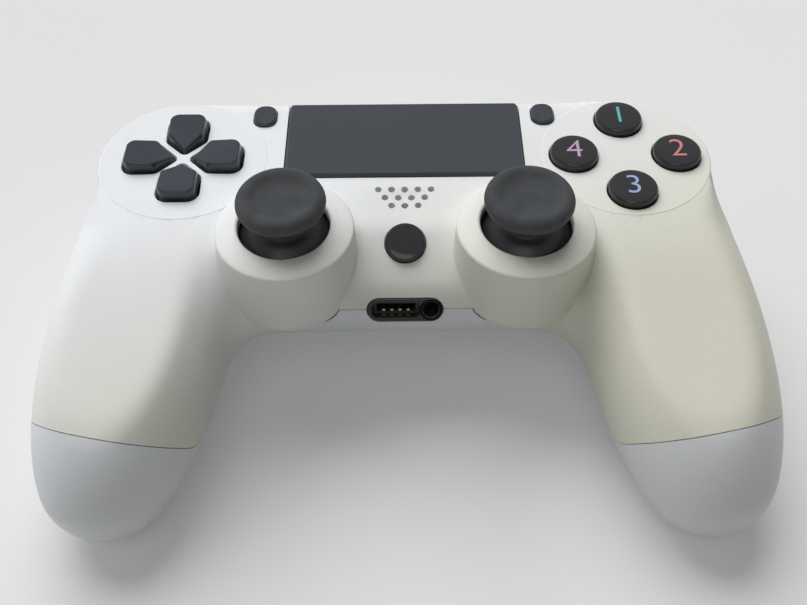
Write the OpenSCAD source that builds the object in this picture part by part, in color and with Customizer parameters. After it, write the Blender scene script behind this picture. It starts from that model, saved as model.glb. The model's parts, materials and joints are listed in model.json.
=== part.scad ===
// Two-handed wireless game controller: a two-part moulded housing round an inner frame, with two
// thumbsticks, a direction pad, push buttons, a touch surface, bumpers, triggers and vibration motors.
// X runs to the right, Y away from the player, Z up. The table is z = 0.

/* [Housing] */
// Height of the flat face above the table
face_z = 40.6; // [40:0.1:42]
// Wall thickness of both housing halves
wall = 2; // [1.7:0.1:2.2]
// Gap along the joint between the two halves
seam = 0.15; // [0.1:0.05:0.3]
// Radius of the round face under the direction pad and under the buttons
disc_r = 19.6; // [19.2:0.1:20]
// Distance of those round faces from the middle
disc_x = 51.2; // [50.8:0.1:51.6]
// Their distance behind the middle
disc_y = 29; // [28.6:0.1:29.4]
// Their height above the shoulders round them
disc_step = 0.2; // [0.2:0.1:0.4]
// Radius of the grip where it leaves the face
grip_root_r = 20.1; // [19.6:0.1:20.4]
// Radius of the grip halfway along
grip_mid_r = 19.1; // [18.7:0.1:19.4]
// Radius of the grip's rounded end
grip_end_r = 14; // [13.5:0.1:14.4]

/* [Thumbsticks] */
// Distance of each stick from the middle
stick_x = 25.9; // [25.6:0.1:26.2]
// Distance of each stick behind the middle
stick_y = 3.6; // [3.3:0.1:3.9]
// Radius of the hole that the stick tilts in
stick_hole_r = 9.9; // [9.8:0.1:10.1]
// Outer radius of the raised rim round the hole
pod_rim_r = 15; // [14.9:0.1:15.2]
// Radius of the dome that fills the hole
dome_r = 13.2; // [13:0.1:13.3]
// Radius of the rubber cap
cap_r = 9.5; // [9.2:0.1:9.7]
// Height of the cap's widest ring above the face
cap_rise = 11.9; // [11.7:0.1:12.4]

/* [Buttons] */
// Radius of a round face button
button_r = 5.5; // [5.1:0.1:5.6]
// Distance of each face button from the middle of its cluster
button_ring = 11.9; // [11.6:0.1:12]
// Height of button tops above the face
button_rise = 1.8; // [1.6:0.1:2.2]
// Length of a direction key from the middle of its cross
key_reach = 13.6; // [13.2:0.1:13.9]
// Greatest width of a direction key
key_w = 9.2; // [8.8:0.1:9.4]
// Radius of the home button
home_r = 4.45; // [4.2:0.05:4.6]

/* [Touch surface] */
// Width of the touch surface
touch_w = 55.2; // [54:0.2:56]
// Front edge of the touch surface
touch_y0 = 22; // [21.6:0.1:22.4]
// Back edge of the touch surface
touch_y1 = 47.7; // [47.2:0.1:48]
// Height of the touch surface above the face
touch_rise = 0.7; // [0.4:0.1:1]

/* [Triggers] */
// Width of each trigger
trigger_w = 22; // [20:0.5:22]
// Radius of the trigger pin
pin_r = 1.2; // [1:0.1:1.3]
// Radial running clearance on the pin
pin_play = 0.05; // [0.03:0.01:0.08]

/* [Hidden] */
$fn = 40;
F = face_z;
SIDES = [-1, 1];
// Farther than any point of the housing
FAR = 100;
// Length by which one solid of a piece runs into the next
LAP = 0.3;

// Housing: thickness of the face, height of the underside, back plane, and facets of its two surfaces
PLATE = 2.3;
BASE_Z = F - 29.6;
BACK_Y = 48.3;
BACK_LEAN = 12;
OUTER = [21, 34];
INNER = [12, 22];

// Grip: three points of its middle line, from the root to the end, with the radius at each
GRIP = [[56.7, 10.3, F - 17.8], [60.5, -19.8, F - 21.5], [63.3, -38.2, F - 27.2]];
GRIP_R = [grip_root_r, grip_mid_r, grip_end_r];
GRIP_STEPS = 6;

// Joint between the halves: its height across the middle, and how it slants over each grip
SEAM_Z = F - 12.3;
SEAM_X = 29.5;
SEAM_AT = [61, -39.6, F - 11.3];
SEAM_SLANT = 54.5;
SEAM_TURN = 12.85;
SEAM_DROP = 14;
SEAM_BEND = 5;

// Sticks: pivot, socket and the inside levels that hang on them
STICK = [stick_x, stick_y, F - 7.5];
SOCKET_R = dome_r + 0.8;
CAP_Z = cap_rise + F - STICK.z;
BOARD_Z = STICK.z - 6.5;
BOARD_T = 1.6;
FRAME_T = 1.4;
FRAME_Z = BOARD_Z - BOARD_T - 2.6 - FRAME_T;
WING_Z = F - 10;
WING_T = 1.5;
WING_R = 14.6;

// Small pieces on the face and round the edge
HOME = [0, 4.8, F - 3.1];
HOME_TILT = 25;
MENU = [33.3, 44];
MENU_SIZE = [5.5, 5.9];
MENU_CORNER = 2.1;
BALL_Z = F - 6.4;
BALL_R = 2;
PORT = [-0.2, -6.85, F - 12.3];
PORT_TILT = 60;
PORT_SIZE = [16.8, 5.5];
SLOT_X = -2;
SLOT_SIZE = [10, 2.8];
JACK_X = 5.7;
JACK_R = 1.8;
LIGHT = [[26, -4.2], [21.6, -8.4]];
LIGHT_R = 1.2;
USB = [0, 46, F - 16.8];
USB_SIZE = [7.6, 5.8, 2.9];
HOLE_PITCH = 2.98;
HOLE_ROWS = 2.22;
HOLES_Y = 18.35;
SPEAKER_Y = 17.2;

// Shoulder pieces, motors and screws
BUMPER_R = [16.9, 20.8];
BUMPER_X = [38.8, 64.8];
BUMPER_Z = [F - 11.8, F - 5.6];
TRIGGER_PIVOT = [disc_x - 0.4, 45.5, F - 16.3];
TRIGGER_TOP = F - 13.9;
TRIGGER_WALL = 2.4;
CHEEK = 2.2;
EAR_R = 2.7;
MOTOR = [49, -16, F - 22.6];
MOTOR_LEN = 11;
SCREWS = [[35.2, 20.2, BASE_Z], [60.2, -32.8, 3.2]];
POST_R = 3.8;

IVORY = [0.93, 0.92, 0.88];
GREY_WHITE = [0.80, 0.82, 0.85];
BLACK = [0.09, 0.09, 0.10];
SLATE = [0.22, 0.24, 0.27];
STEEL = [0.72, 0.73, 0.75];
GOLD = [0.83, 0.68, 0.30];
SILICONE = [0.62, 0.64, 0.66];
BOARD_GREEN = [0.10, 0.30, 0.20];
FROSTED = [0.93, 0.95, 0.98];
CELL_GREY = [0.25, 0.27, 0.32];

// The housing's outer surface is the zero level of a blended distance: a centre block made of sloping
// planes, two round shoulders and two bent grips, all under a ceiling that falls towards the grips.
function blend_min(a, b, k) = let(h = max(k - abs(a - b), 0) / k) min(a, b) - h * h * k / 4;
function blend_max(a, b, k) = -blend_min(-a, -b, k);
function beyond(p, y0, z0, angle) = (p.y - y0) * cos(angle) + (p.z - z0) * sin(angle);
function limb(p, a, b, ra, rb) =
  let(d = b - a, t = max(0, min(1, (p - a) * d / (d * d)))) norm(p - a - t * d) - ra - (rb - ra) * t;
// Value at t of the even curve through three given values
function through(v, t) = v[0] * (1 - t) * (1 - 2 * t) + v[1] * 4 * t * (1 - t) + v[2] * t * (2 * t - 1);
GRIP_PATH = [for (i = [0 : GRIP_STEPS]) through(GRIP, i / GRIP_STEPS)];
GRIP_GIRTH = [for (i = [0 : GRIP_STEPS]) through(GRIP_R, i / GRIP_STEPS)];
function grip(p) =
  let(q = [abs(p.x), p.y, p.z])
  min([
    for (i = [1 : GRIP_STEPS])
      limb(q, GRIP_PATH[i - 1], GRIP_PATH[i], GRIP_GIRTH[i - 1], GRIP_GIRTH[i])
  ]);
function centre_block(p) =
  let(
    top = blend_max(p.z - F - 1.5, beyond(p, 7.6, F, 126), 10),
    front = blend_max(top, beyond(p, -7.8, F - 14.3, 190), 7),
    chin = blend_max(front, beyond(p, -4.8, F - 25.1, 235), 8),
    base = blend_max(chin, BASE_Z - p.z, 8),
    back = blend_max(base, beyond(p, BACK_Y, F, BACK_LEAN), 2),
    heel = blend_max(back, beyond(p, BACK_Y + 0.7, F - 22.2, -40), 8)
  )
  blend_max(heel, abs(p.x) - 49.6, 6);
function shoulder(p) =
  let(out = norm([abs(p.x) - disc_x, p.y - disc_y]) - disc_r + 0.4, flare = (F - p.z) * 0.16)
  blend_max(out - flare, BASE_Z + 0.3 - p.z, 8);
function ceiling(p) =
  let(inward = max(0, min(1, (disc_x - 18.2 - abs(p.x)) / 6)), level = F - disc_step + 2.1 * inward)
  blend_max(p.z - level, beyond(p, disc_y - disc_r - 3.6, F - disc_step, 102), 1.5);
function body(p) =
  let(joined = blend_min(blend_min(centre_block(p), shoulder(p), 3), grip(p), 9.3))
  blend_max(blend_max(joined, ceiling(p), 1.5), -1.5 - p.z, 4);

// Distance from c along d to the given level of the body, by halving
function reach(c, d, level, low = 0, high = 72, i = 0) =
  i == 17 ? (low + high) / 2 :
  let(m = (low + high) / 2)
  body(c + m * d) < level ? reach(c, d, level, m, high, i + 1) : reach(c, d, level, low, m, i + 1);
// A line that stays inside the body from one side to the other
function heart(x) = [
  x,
  lookup(abs(x), [[0, 22], [38, 22], [55, 4], [69, -10], [80, -19]]),
  F + lookup(abs(x), [[0, -15], [38, -15], [55, -18], [69, -21], [80, -22.6]])
];
function ring(x, level, rays) = [
  for (j = [0 : rays - 1])
    let(a = 360 * j / rays, d = [0, 2 * cos(a), sin(a)] / norm([2 * cos(a), sin(a)]))
    heart(x) + d * reach(heart(x), d, level)
];

// Solid bounded by one level of the body, as rings of points across X
module body_solid(level, facets) {
  rings = facets[0];
  rays = facets[1];
  side = [62, -19, F - 22.6];
  tip = side.x + reach(side, [1, 0, 0], level, 0, 30);
  xs = [for (i = [1 - rings : rings - 1]) let(u = i / rings) tip * (0.6 * u + 0.4 * sin(90 * u))];
  n = len(xs);
  loops = [for (x = xs) each ring(x, level, rays)];
  ends = [[-tip, side.y, side.z], [tip, side.y, side.z]];
  skin = [
    for (i = [0 : n - 2])
      for (j = [0 : rays - 1])
        let(k = (j + 1) % rays, a = i * rays, b = a + rays)
        each [[a + j, b + j, b + k], [a + j, b + k, a + k]]
  ];
  caps = [
    for (j = [0 : rays - 1])
      let(k = (j + 1) % rays, last = (n - 1) * rays)
      each [[n * rays, j, k], [n * rays + 1, last + k, last + j]]
  ];
  polyhedron(concat(loops, ends), concat(skin, caps), convexity = 6);
}

module below(z) {
  translate([-FAR, -FAR, z - FAR])
    cube([2 * FAR, 2 * FAR, FAR]);
}

module at_side(side) {
  scale([side, 1, 1])
    children();
}

module cavity() {
  intersection() {
    body_solid(-wall, INNER);
    below(F - PLATE);
  }
}

// What stands inside the housing reaches half a wall into its skin.
module rooted() {
  intersection() {
    children();
    body_solid(-wall / 2, INNER);
  }
}

// The front half's share of the body: above the joint, and behind the slanted joint across each grip.
module front_zone(grow = 0) {
  run = 1 / tan(SEAM_SLANT);
  side_view = [[-50 * run, 50], [SEAM_DROP * run, -SEAM_DROP], [140, -SEAM_DROP], [140, 50]];
  translate([-SEAM_X - 0.5, -FAR, SEAM_Z - grow])
    cube([2 * SEAM_X + 1, 2 * FAR, FAR]);
  for (s = SIDES)
    at_side(s)
      intersection() {
        translate([SEAM_X, -FAR, 0])
          cube([FAR, 2 * FAR, FAR]);
        translate(SEAM_AT)
          rotate([0, 0, SEAM_TURN])
            rotate([90, 0, 90])
              translate([0, 0, -60])
                linear_extrude(120)
                  offset(delta = grow)
                    offset(r = SEAM_BEND, $fn = 24)
                      offset(delta = -SEAM_BEND)
                        polygon(side_view);
      }
}

// Raised tub round one stick: a sloping rim with a crisp edge over a side that narrows downwards.
module pod(grow = 0) {
  foot = [10.6, F - 11.5];
  edge = 0.7;
  rotate_extrude($fn = 36)
    polygon([
      [0, F - 16.5 - grow],
      [foot.x + grow, F - 16.5 - grow],
      for (a = [-65 : 25 : 10]) [foot.x + (4.4 + grow) * cos(a), foot.y + (5 + grow) * sin(a)],
      [pod_rim_r + 0.4 + grow, F - 4],
      for (a = [0 : 35 : 70]) [pod_rim_r - edge + edge * cos(a), F + 2.6 + edge * sin(a)],
      [stick_hole_r + 1, F + 4.5],
      [0, F + 4.5]
    ]);
}

// Room for one stick: its hole with a rounded lip, over the round socket that its dome turns in.
module stick_room() {
  lip = 0.7;
  rotate_extrude($fn = 36)
    polygon([
      [0, F - 6],
      [stick_hole_r, F - 6],
      for (a = [180 : -30 : 90]) [stick_hole_r + lip + lip * cos(a), F + 3.8 + lip * sin(a)],
      [stick_hole_r + lip, F + 8],
      [0, F + 8]
    ]);
  intersection() {
    translate([0, 0, STICK.z])
      sphere(SOCKET_R, $fn = 22);
    translate([-SOCKET_R, -SOCKET_R, BOARD_Z + 0.1])
      cube(2 * SOCKET_R);
  }
}

module pill(size, r = 0) {
  c = (r == 0 ? min(size.x, size.y) / 2 : r);
  hull()
    for (x = SIDES, y = SIDES)
      translate([x * (size.x / 2 - c), y * (size.y / 2 - c)])
        circle(c, $fn = 20);
}

// Corners of one direction key, from its outer end to its tip: place, radius and fall below the top
KEY_CORNERS = [[key_reach - 2, 2.1, 2, 0], [6.9, key_w / 2 - 1.6, 1.6, 0.1], [2.9, 0, 0.9, 1.2]];

// One direction key seen from above: round outer corners, wide shoulders and a tip at the middle
module key_outline(grow = 0) {
  hull()
    for (c = KEY_CORNERS, s = SIDES)
      translate([c[0], s * c[1]])
        circle(c[2] + grow, $fn = 16);
}

module at_keys() {
  translate([-disc_x, disc_y, 0])
    for (a = [0 : 90 : 270])
      rotate([0, 0, a])
        children();
}

module at_button(angle) {
  translate([disc_x, disc_y, 0])
    rotate([0, 0, angle])
      translate([button_ring, 0, 0])
        children();
}

module at_port() {
  translate(PORT)
    rotate([PORT_TILT, 0, 0])
      children();
}

module at_home() {
  translate(HOME)
    rotate([HOME_TILT, 0, 0])
      children();
}

module at_light() {
  translate([0, BACK_Y, F])
    rotate([BACK_LEAN, 0, 0])
      rotate([90, 0, 0])
        children();
}

module light_outline(grow = 0) {
  hull()
    for (s = SIDES, p = LIGHT)
      translate([s * p.x, p.y])
        circle(LIGHT_R + grow, $fn = 24);
}

// Room cut in the housing for the bumpers and the triggers below them
module shoulder_cuts() {
  gap = 0.4;
  travel = 1.8;
  for (s = SIDES)
    at_side(s) {
      translate([0, 0, BUMPER_Z[0] - gap])
        linear_extrude(BUMPER_Z[1] - BUMPER_Z[0] + 2 * gap)
          difference() {
            translate([BUMPER_X[0] - gap, 37.4])
              square([BUMPER_X[1] - BUMPER_X[0] + 2 * gap, 30]);
            translate([disc_x, disc_y])
              circle(BUMPER_R[0] - travel);
          }
      translate([TRIGGER_PIVOT.x - trigger_w / 2 - 2 * gap, 40.2, -2])
        cube([trigger_w + 4 * gap, 30, TRIGGER_TOP + 2.5]);
    }
}

module speaker_holes() {
  for (row = [0 : 2], i = [0 : 4 - row])
    translate([(i - (4 - row) / 2) * HOLE_PITCH, HOLES_Y - row * HOLE_ROWS, F - 8])
      cylinder(h = 12, r = 0.75, $fn = 10);
}

module face_openings() {
  deep = 9;
  at_keys()
    translate([0, 0, F - deep])
      linear_extrude(deep + 5)
        key_outline(0.6);
  // Room for the round plate that joins the direction keys
  translate([-disc_x, disc_y, F - deep])
    cylinder(h = deep - 2.9, r = key_reach + 0.3, $fn = 32);
  for (a = [0 : 90 : 270])
    at_button(a)
      translate([0, 0, F - deep])
        cylinder(h = deep + 5, r = button_r + 0.25, $fn = 32);
  // Pockets that the buttons' flanges rise into
  intersection() {
    for (a = [0 : 90 : 270])
      at_button(a)
        translate([0, 0, F - 6])
          cylinder(h = 3.6, r = button_r + 1.6, $fn = 24);
    translate([disc_x, disc_y, F - deep])
      cylinder(h = deep, r = disc_r - 2.8, $fn = 32);
  }
  translate([0, (touch_y0 + 70) / 2 - 0.3, F - PLATE - 0.3])
    linear_extrude(10)
      pill([touch_w + 0.6, 70 - touch_y0], 2);
  for (s = SIDES) {
    translate([s * MENU.x, MENU.y, F - deep])
      linear_extrude(deep + 5)
        pill(MENU_SIZE + [0.5, 0.5], MENU_CORNER);
    translate([s * MENU.x, MENU.y - 0.8, F - 6])
      linear_extrude(3)
        pill([MENU_SIZE.x + 2.4, MENU_SIZE.y - 1.8], 1.9);
    translate([s * stick_x, stick_y, 0])
      stick_room();
  }
  at_home()
    translate([0, 0, -8])
      cylinder(h = 14, r = home_r + 0.2);
  speaker_holes();
}

module port_opening() {
  at_port()
    translate([0, 0, -9])
      linear_extrude(17)
        pill(PORT_SIZE + [0.3, 0.3]);
}

module front_shell() {
  bore_r = 1.15;
  color(IVORY)
    difference() {
      union() {
        difference() {
          union() {
            intersection() {
              body_solid(0, OUTER);
              front_zone();
              below(F);
            }
            for (s = SIDES) {
              translate([s * disc_x, disc_y, F - PLATE])
                cylinder(h = PLATE, r1 = disc_r - 0.1, r2 = disc_r, $fn = 60);
              translate([s * stick_x, stick_y, 0])
                pod();
            }
          }
          cavity();
        }
        intersection() {
          rooted()
            for (s = SIDES, p = SCREWS)
              translate([s * p.x, p.y, p.z + 9])
                cylinder(h = 60, r = POST_R - 1, $fn = 24);
          below(F - 1);
        }
      }
      face_openings();
      port_opening();
      shoulder_cuts();
      at_light()
        translate([0, 0, -6])
          linear_extrude(16)
            light_outline(seam);
      for (s = SIDES, p = SCREWS)
        translate([s * p.x, p.y, 0])
          cylinder(h = p.z + 20, r = bore_r, $fn = 16);
    }
}

// Upright web with a round seat that a motor lies in
module motor_saddle(r) {
  web = 1.5;
  top = -3;
  difference() {
    hull() {
      translate([0, -7.5, top - 1])
        cube([web, 15, 1]);
      translate([0, -5, -22])
        cube([web, 10, 1]);
    }
    translate([-1, 0, 0])
      rotate([0, 90, 0])
        cylinder(h = web + 2, r = r);
  }
}

module rear_shell() {
  bore_r = 1.5;
  well_r = 2.7;
  color(GREY_WHITE)
    difference() {
      union() {
        difference() {
          body_solid(0, OUTER);
          cavity();
          front_zone(seam);
          for (s = SIDES)
            translate([s * stick_x, stick_y, 0])
              pod(seam);
        }
        rooted() {
          for (s = SIDES, p = SCREWS)
            translate([s * p.x, p.y, 0])
              cylinder(h = p.z + 8.8, r = POST_R, $fn = 24);
          for (s = SIDES, x = [2, 8])
            at_side(s)
              translate([MOTOR.x + x, MOTOR.y, MOTOR.z])
                motor_saddle(motor_r(s) + 0.05);
        }
      }
      for (s = SIDES, p = SCREWS)
        translate([s * p.x, p.y, -1]) {
          cylinder(h = p.z + 30, r = bore_r, $fn = 16);
          cylinder(h = p.z + 6, r = well_r, $fn = 24);
        }
      port_opening();
      shoulder_cuts();
      translate([USB.x, USB.y - 6, USB.z])
        rotate([-90, 0, 0])
          linear_extrude(20)
            pill([USB_SIZE.x + 0.8, USB_SIZE.z + 0.8], 1);
    }
}

module light_bar() {
  color(FROSTED)
    at_light()
      translate([0, 0, -0.1])
        linear_extrude(1.2)
          light_outline();
}

module port_plate() {
  back = -2;
  color(BLACK)
    at_port()
      difference() {
        translate([0, 0, back])
          linear_extrude(1.8)
            pill(PORT_SIZE);
        translate([SLOT_X, 0, back - 1])
          linear_extrude(5)
            pill(SLOT_SIZE, 0.8);
        translate([JACK_X, 0, back - 1])
          cylinder(h = 5, r = JACK_R + 0.4);
      }
}

module expansion_connector() {
  size = [SLOT_SIZE.x, 4, 7.8];
  back = -10;
  rim = 0.7;
  color(BLACK)
    at_port()
      difference() {
        translate([SLOT_X - size.x / 2, -size.y / 2, back])
          cube(size);
        translate([SLOT_X - size.x / 2 + rim, -0.9, back + 3])
          cube([size.x - 2 * rim, 1.8, size.z]);
      }
}

module expansion_contacts() {
  size = [0.8, 0.5, 4.6];
  pitch = 1.8;
  color(GOLD)
    at_port()
      for (i = [-1.5 : 1 : 1.5])
        translate([SLOT_X + i * pitch - size.x / 2, -0.9, -6.9])
          cube(size);
}

module headset_socket() {
  back = -12.5;
  color(BLACK)
    at_port()
      translate([JACK_X, 0, 0])
        difference() {
          union() {
            translate([0, 0, back])
              cylinder(h = 10.4, r = JACK_R + 0.6);
            translate([0, 0, -2.2])
              cylinder(h = 1.9, r = JACK_R + 0.3);
          }
          translate([0, 0, back + 1])
            cylinder(h = 12, r = JACK_R);
        }
}

// Folded metal shell, open to the back, with the tongue that carries the contacts
module charging_socket() {
  sheet = 0.35;
  color(STEEL)
    translate(USB) {
      difference() {
        translate([-USB_SIZE.x / 2, -2, -USB_SIZE.z / 2])
          cube(USB_SIZE);
        translate([sheet - USB_SIZE.x / 2, sheet - 2, sheet - USB_SIZE.z / 2])
          cube([USB_SIZE.x - 2 * sheet, USB_SIZE.y, USB_SIZE.z - 2 * sheet]);
      }
      translate([-2, -1.7, -0.3])
        cube([4, 4.4, 0.6]);
    }
}

module charging_board() {
  size = [26, 11, 1];
  color(BOARD_GREEN)
    difference() {
      translate([-size.x / 2, USB.y - 10, USB.z - USB_SIZE.z / 2 - size.z])
        cube(size);
      for (s = SIDES)
        translate([s * (size.x / 2 - 2.5), USB.y - 6, USB.z - 4])
          cylinder(h = 4, r = 1.1);
    }
}

// Both sides of a flat piece from the points of its right side
function both_sides(half) = concat(half, [for (i = [len(half) - 1 : -1 : 0]) [-half[i].x, half[i].y]]);

module main_board() {
  color(BOARD_GREEN)
    translate([0, 0, BOARD_Z - BOARD_T])
      linear_extrude(BOARD_T)
        difference() {
          polygon(both_sides([[12, 8], [12, -3.8], [34, -3.8], [34, 16.4], [31, 19.4], [31, 34]]));
          for (s = SIDES)
            translate([s * 15, 27])
              circle(1.6);
        }
}

module inner_frame() {
  column = [2.2, 7, WING_Z - WING_T - FRAME_Z - FRAME_T];
  color(BLACK) {
    translate([0, 0, FRAME_Z])
      linear_extrude(FRAME_T)
        difference() {
          polygon(both_sides([[12, 9.5], [12, -3], [33, -3], [33, 15.5], [42, 27], [42, 35], [30, 36]]));
          for (s = SIDES)
            translate([s * SCREWS[0].x, SCREWS[0].y])
              circle(POST_R + 0.5);
        }
    for (s = SIDES) {
      for (y = [0, 30])
        translate([s * 20, y, FRAME_Z + FRAME_T])
          cylinder(h = BOARD_Z - BOARD_T - FRAME_Z - FRAME_T, r = 2);
      translate([s * disc_x, disc_y, WING_Z - WING_T])
        cylinder(h = WING_T, r = WING_R);
      at_side(s)
        translate([39.6, 27.5, FRAME_Z + FRAME_T])
          cube(column);
    }
  }
}

module battery() {
  floor_z = BASE_Z + 2.7;
  color(CELL_GREY)
    translate([0, 22.6, floor_z])
      linear_extrude(FRAME_Z - 0.2 - floor_z)
        pill([56, 26], 3);
}

// Loudspeaker: a dished basket on the magnet that stands on the main board
module speaker() {
  basket_z = F - 10;
  basket_h = 3;
  color(SLATE)
    translate([0, SPEAKER_Y, 0]) {
      translate([0, 0, BOARD_Z])
        cylinder(h = basket_z - BOARD_Z + LAP, r = 4.2);
      difference() {
        translate([0, 0, basket_z])
          cylinder(h = basket_h, r = 7);
        translate([0, 0, basket_z + basket_h - 0.8])
          cylinder(h = 2, r1 = 4.6, r2 = 6.4);
      }
    }
}

// Small direct-current motors, their shafts pointing outwards; the left one is the stronger.
function motor_r(side) = side < 0 ? 5.6 : 4.6;
function weight_r(side) = side < 0 ? 9 : 7;

module motor(side) {
  nose = 0.8;
  color(STEEL)
    at_side(side)
      translate(MOTOR)
        rotate([0, 90, 0]) {
          cylinder(h = MOTOR_LEN, r = motor_r(side));
          cylinder(h = MOTOR_LEN + nose, r = 2.2);
          cylinder(h = MOTOR_LEN + nose + 6, r = 0.75);
        }
}

// Half-round weight on the motor's shaft; spinning off centre, it makes the grip shake.
module motor_weight(side) {
  r = weight_r(side);
  thick = 5;
  color(STEEL)
    at_side(side)
      translate([MOTOR.x + MOTOR_LEN + 1.6, MOTOR.y, MOTOR.z])
        rotate([0, 90, 0])
          difference() {
            union() {
              intersection() {
                cylinder(h = thick, r = r);
                translate([-1, -r, 0])
                  cube([r + 1, 2 * r, thick]);
              }
              cylinder(h = thick, r = 2);
            }
            translate([0, 0, -1])
              cylinder(h = thick + 2, r = 0.8);
          }
}

// Direction pad: four keys on one round plate that rocks on a ball under its middle
module dpad() {
  key_z = F - 4.8;
  plate_z = F - 5.8;
  hub = [3.6, F - 7.6, F - 3.6];
  top = F + button_rise;
  ball_gap = 0.3;
  color(SLATE) {
    at_keys()
      hull()
        for (c = KEY_CORNERS, s = SIDES, step = [[0.1, -0.8], [0.4, -0.2], [0.85, 0]])
          translate([c[0], s * c[1], key_z])
            cylinder(h = top + step[1] - c[3] - key_z, r = c[2] - step[0], $fn = 16);
    translate([-disc_x, disc_y, 0])
      difference() {
        union() {
          translate([0, 0, plate_z])
            cylinder(h = key_z + LAP - plate_z, r = key_reach - 0.7);
          translate([0, 0, hub[1]])
            cylinder(h = hub[2] - hub[1], r = hub[0]);
        }
        translate([0, 0, BALL_Z])
          sphere(BALL_R + ball_gap);
        translate([0, 0, hub[1] - 1])
          cylinder(h = 1.4, r = BALL_R - 0.1);
      }
  }
}

module dpad_pivot() {
  foot_z = WING_Z + 0.25;
  color(SILICONE)
    translate([-disc_x, disc_y, 0]) {
      translate([0, 0, BALL_Z])
        sphere(BALL_R);
      translate([0, 0, foot_z])
        cylinder(h = BALL_Z - foot_z, r = 1.2);
    }
}

// Silicone sheet with four low domes; a hole in its middle clears the pivot.
module dome_pad(dome_x) {
  inset = 0.3;
  color(SILICONE)
    difference() {
      union() {
        cylinder(h = 0.8, r = WING_R - inset);
        for (a = [0 : 90 : 270])
          rotate([0, 0, a])
            translate([dome_x, 0, 0])
              cylinder(h = 1.5, r1 = 2.6, r2 = 1.8);
      }
      translate([0, 0, -1])
        cylinder(h = 4, r = 3);
    }
}

module dpad_pad() {
  translate([-disc_x, disc_y, WING_Z])
    dome_pad(9.5);
}

module button_pad() {
  translate([disc_x, disc_y, WING_Z])
    dome_pad(button_ring - 1);
}

// Round button: its flange is cut back on the outer side, where the housing's wall is near.
module face_button(angle) {
  flange_z = F - 3.7;
  flange_r = button_r + 1.2;
  stem_r = 2.4;
  edge = 0.9;
  top = F + button_rise;
  color(BLACK) {
    at_button(angle)
      rotate_extrude()
        polygon([
          [0, F - 6.3],
          [stem_r, F - 6.3],
          [stem_r, flange_z + LAP],
          [button_r, flange_z + LAP],
          for (a = [0 : 15 : 90]) [button_r - edge + edge * cos(a), top - edge + edge * sin(a)],
          [stem_r, top + 0.12],
          [0, top + 0.15]
        ]);
    intersection() {
      at_button(angle)
        translate([0, 0, flange_z])
          cylinder(h = 1, r = flange_r);
      translate([disc_x, disc_y, flange_z])
        cylinder(h = 1, r = disc_r - 3.3);
    }
  }
}

module touchpad() {
  depth = touch_y1 - touch_y0;
  mid = (touch_y0 + touch_y1) / 2;
  edge = 0.3;
  color(SLATE)
    translate([0, mid, 0]) {
      translate([0, 0, F - PLATE - 0.1])
        linear_extrude(PLATE + 0.1 + touch_rise - edge)
          pill([touch_w, depth], 1.8);
      translate([0, 0, F + touch_rise - edge])
        linear_extrude(edge)
          pill([touch_w - 2 * edge, depth - 2 * edge], 1.6);
      translate([0, 0, F - 3.1])
        linear_extrude(0.8)
          pill([touch_w - 2, depth - 4.4], 1.5);
      translate([0, -1.05, F - 4.2])
        linear_extrude(1.2)
          pill([touch_w + 2, depth - 3.7], 1.5);
    }
}

// Push switch on a riser from the main board
module touchpad_switch() {
  case_z = F - 8;
  case = [6, 6, 2.2];
  color(STEEL)
    translate([0, touch_y0 + 6.5, 0]) {
      translate([-2, -2, BOARD_Z])
        cube([4, 4, case_z - BOARD_Z + LAP]);
      translate([-case.x / 2, -case.y / 2, case_z])
        cube(case);
      translate([0, 0, case_z + case.z])
        cylinder(h = 0.4, r = 1.5);
    }
}

module menu_button(side) {
  color(BLACK)
    translate([side * MENU.x, MENU.y, 0]) {
      translate([0, 0, F - 3.4])
        linear_extrude(3.9)
          pill(MENU_SIZE, MENU_CORNER);
      translate([0, 0, F + 0.4])
        linear_extrude(0.5)
          pill(MENU_SIZE - [0.8, 0.8], MENU_CORNER - 0.4);
      translate([0, -0.8, F - 4.4])
        linear_extrude(1.1)
          pill([MENU_SIZE.x + 1.6, MENU_SIZE.y - 2.6], 1.5);
    }
}

module home_button() {
  edge = 0.6;
  flange_z = -4.4;
  color(BLACK)
    at_home()
      rotate_extrude()
        polygon([
          [0, flange_z],
          [home_r + 0.95, flange_z],
          [home_r + 0.95, flange_z + 1],
          [home_r, flange_z + 1],
          for (a = [0 : 22.5 : 90]) [home_r - edge + edge * cos(a), 0.3 + edge * sin(a)],
          [0, 1]
        ]);
}

// Area inside the given radius round the shoulder, drawn out straight towards the middle
module shoulder_area(r, facets) {
  translate([disc_x, disc_y])
    circle(r, $fn = facets);
  translate([disc_x - 40, disc_y])
    square([40, r]);
}

// Curved bar with rounded edges: straight beside the light bar, then round the shoulder
module bumper(side) {
  h = BUMPER_Z[1] - BUMPER_Z[0];
  slice = 0.1;
  // Height above the bottom and inset of each slice of the outer form
  steps = [[0, 0.9], [0.9, 0], [h - 2.4, 0], [h - 0.9, 0.8], [h - slice, 2.2]];
  color(BLACK)
    at_side(side)
      difference() {
        hull()
          for (p = steps)
            translate([0, 0, BUMPER_Z[0] + p[0]])
              linear_extrude(slice)
                intersection() {
                  shoulder_area(BUMPER_R[1] - p[1], 96);
                  translate([BUMPER_X[0], 38])
                    square([BUMPER_X[1] - BUMPER_X[0], 30]);
                }
        translate([0, 0, BUMPER_Z[0] - 1])
          linear_extrude(h + 2)
            shoulder_area(BUMPER_R[0], 64);
      }
}

// Outer line of the trigger's section: a bulge for the finger and a lip that flares out at the bottom
function blade(inset) = [
  for (t = [0 : 0.1 : 1])
    [52 - inset - 9 * pow(t - 0.3, 2) + 32 * pow(max(0, t - 0.62), 2), TRIGGER_TOP * (1 - t)]
];
function backwards(v) = [for (i = [len(v) - 1 : -1 : 0]) v[i]];

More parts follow.
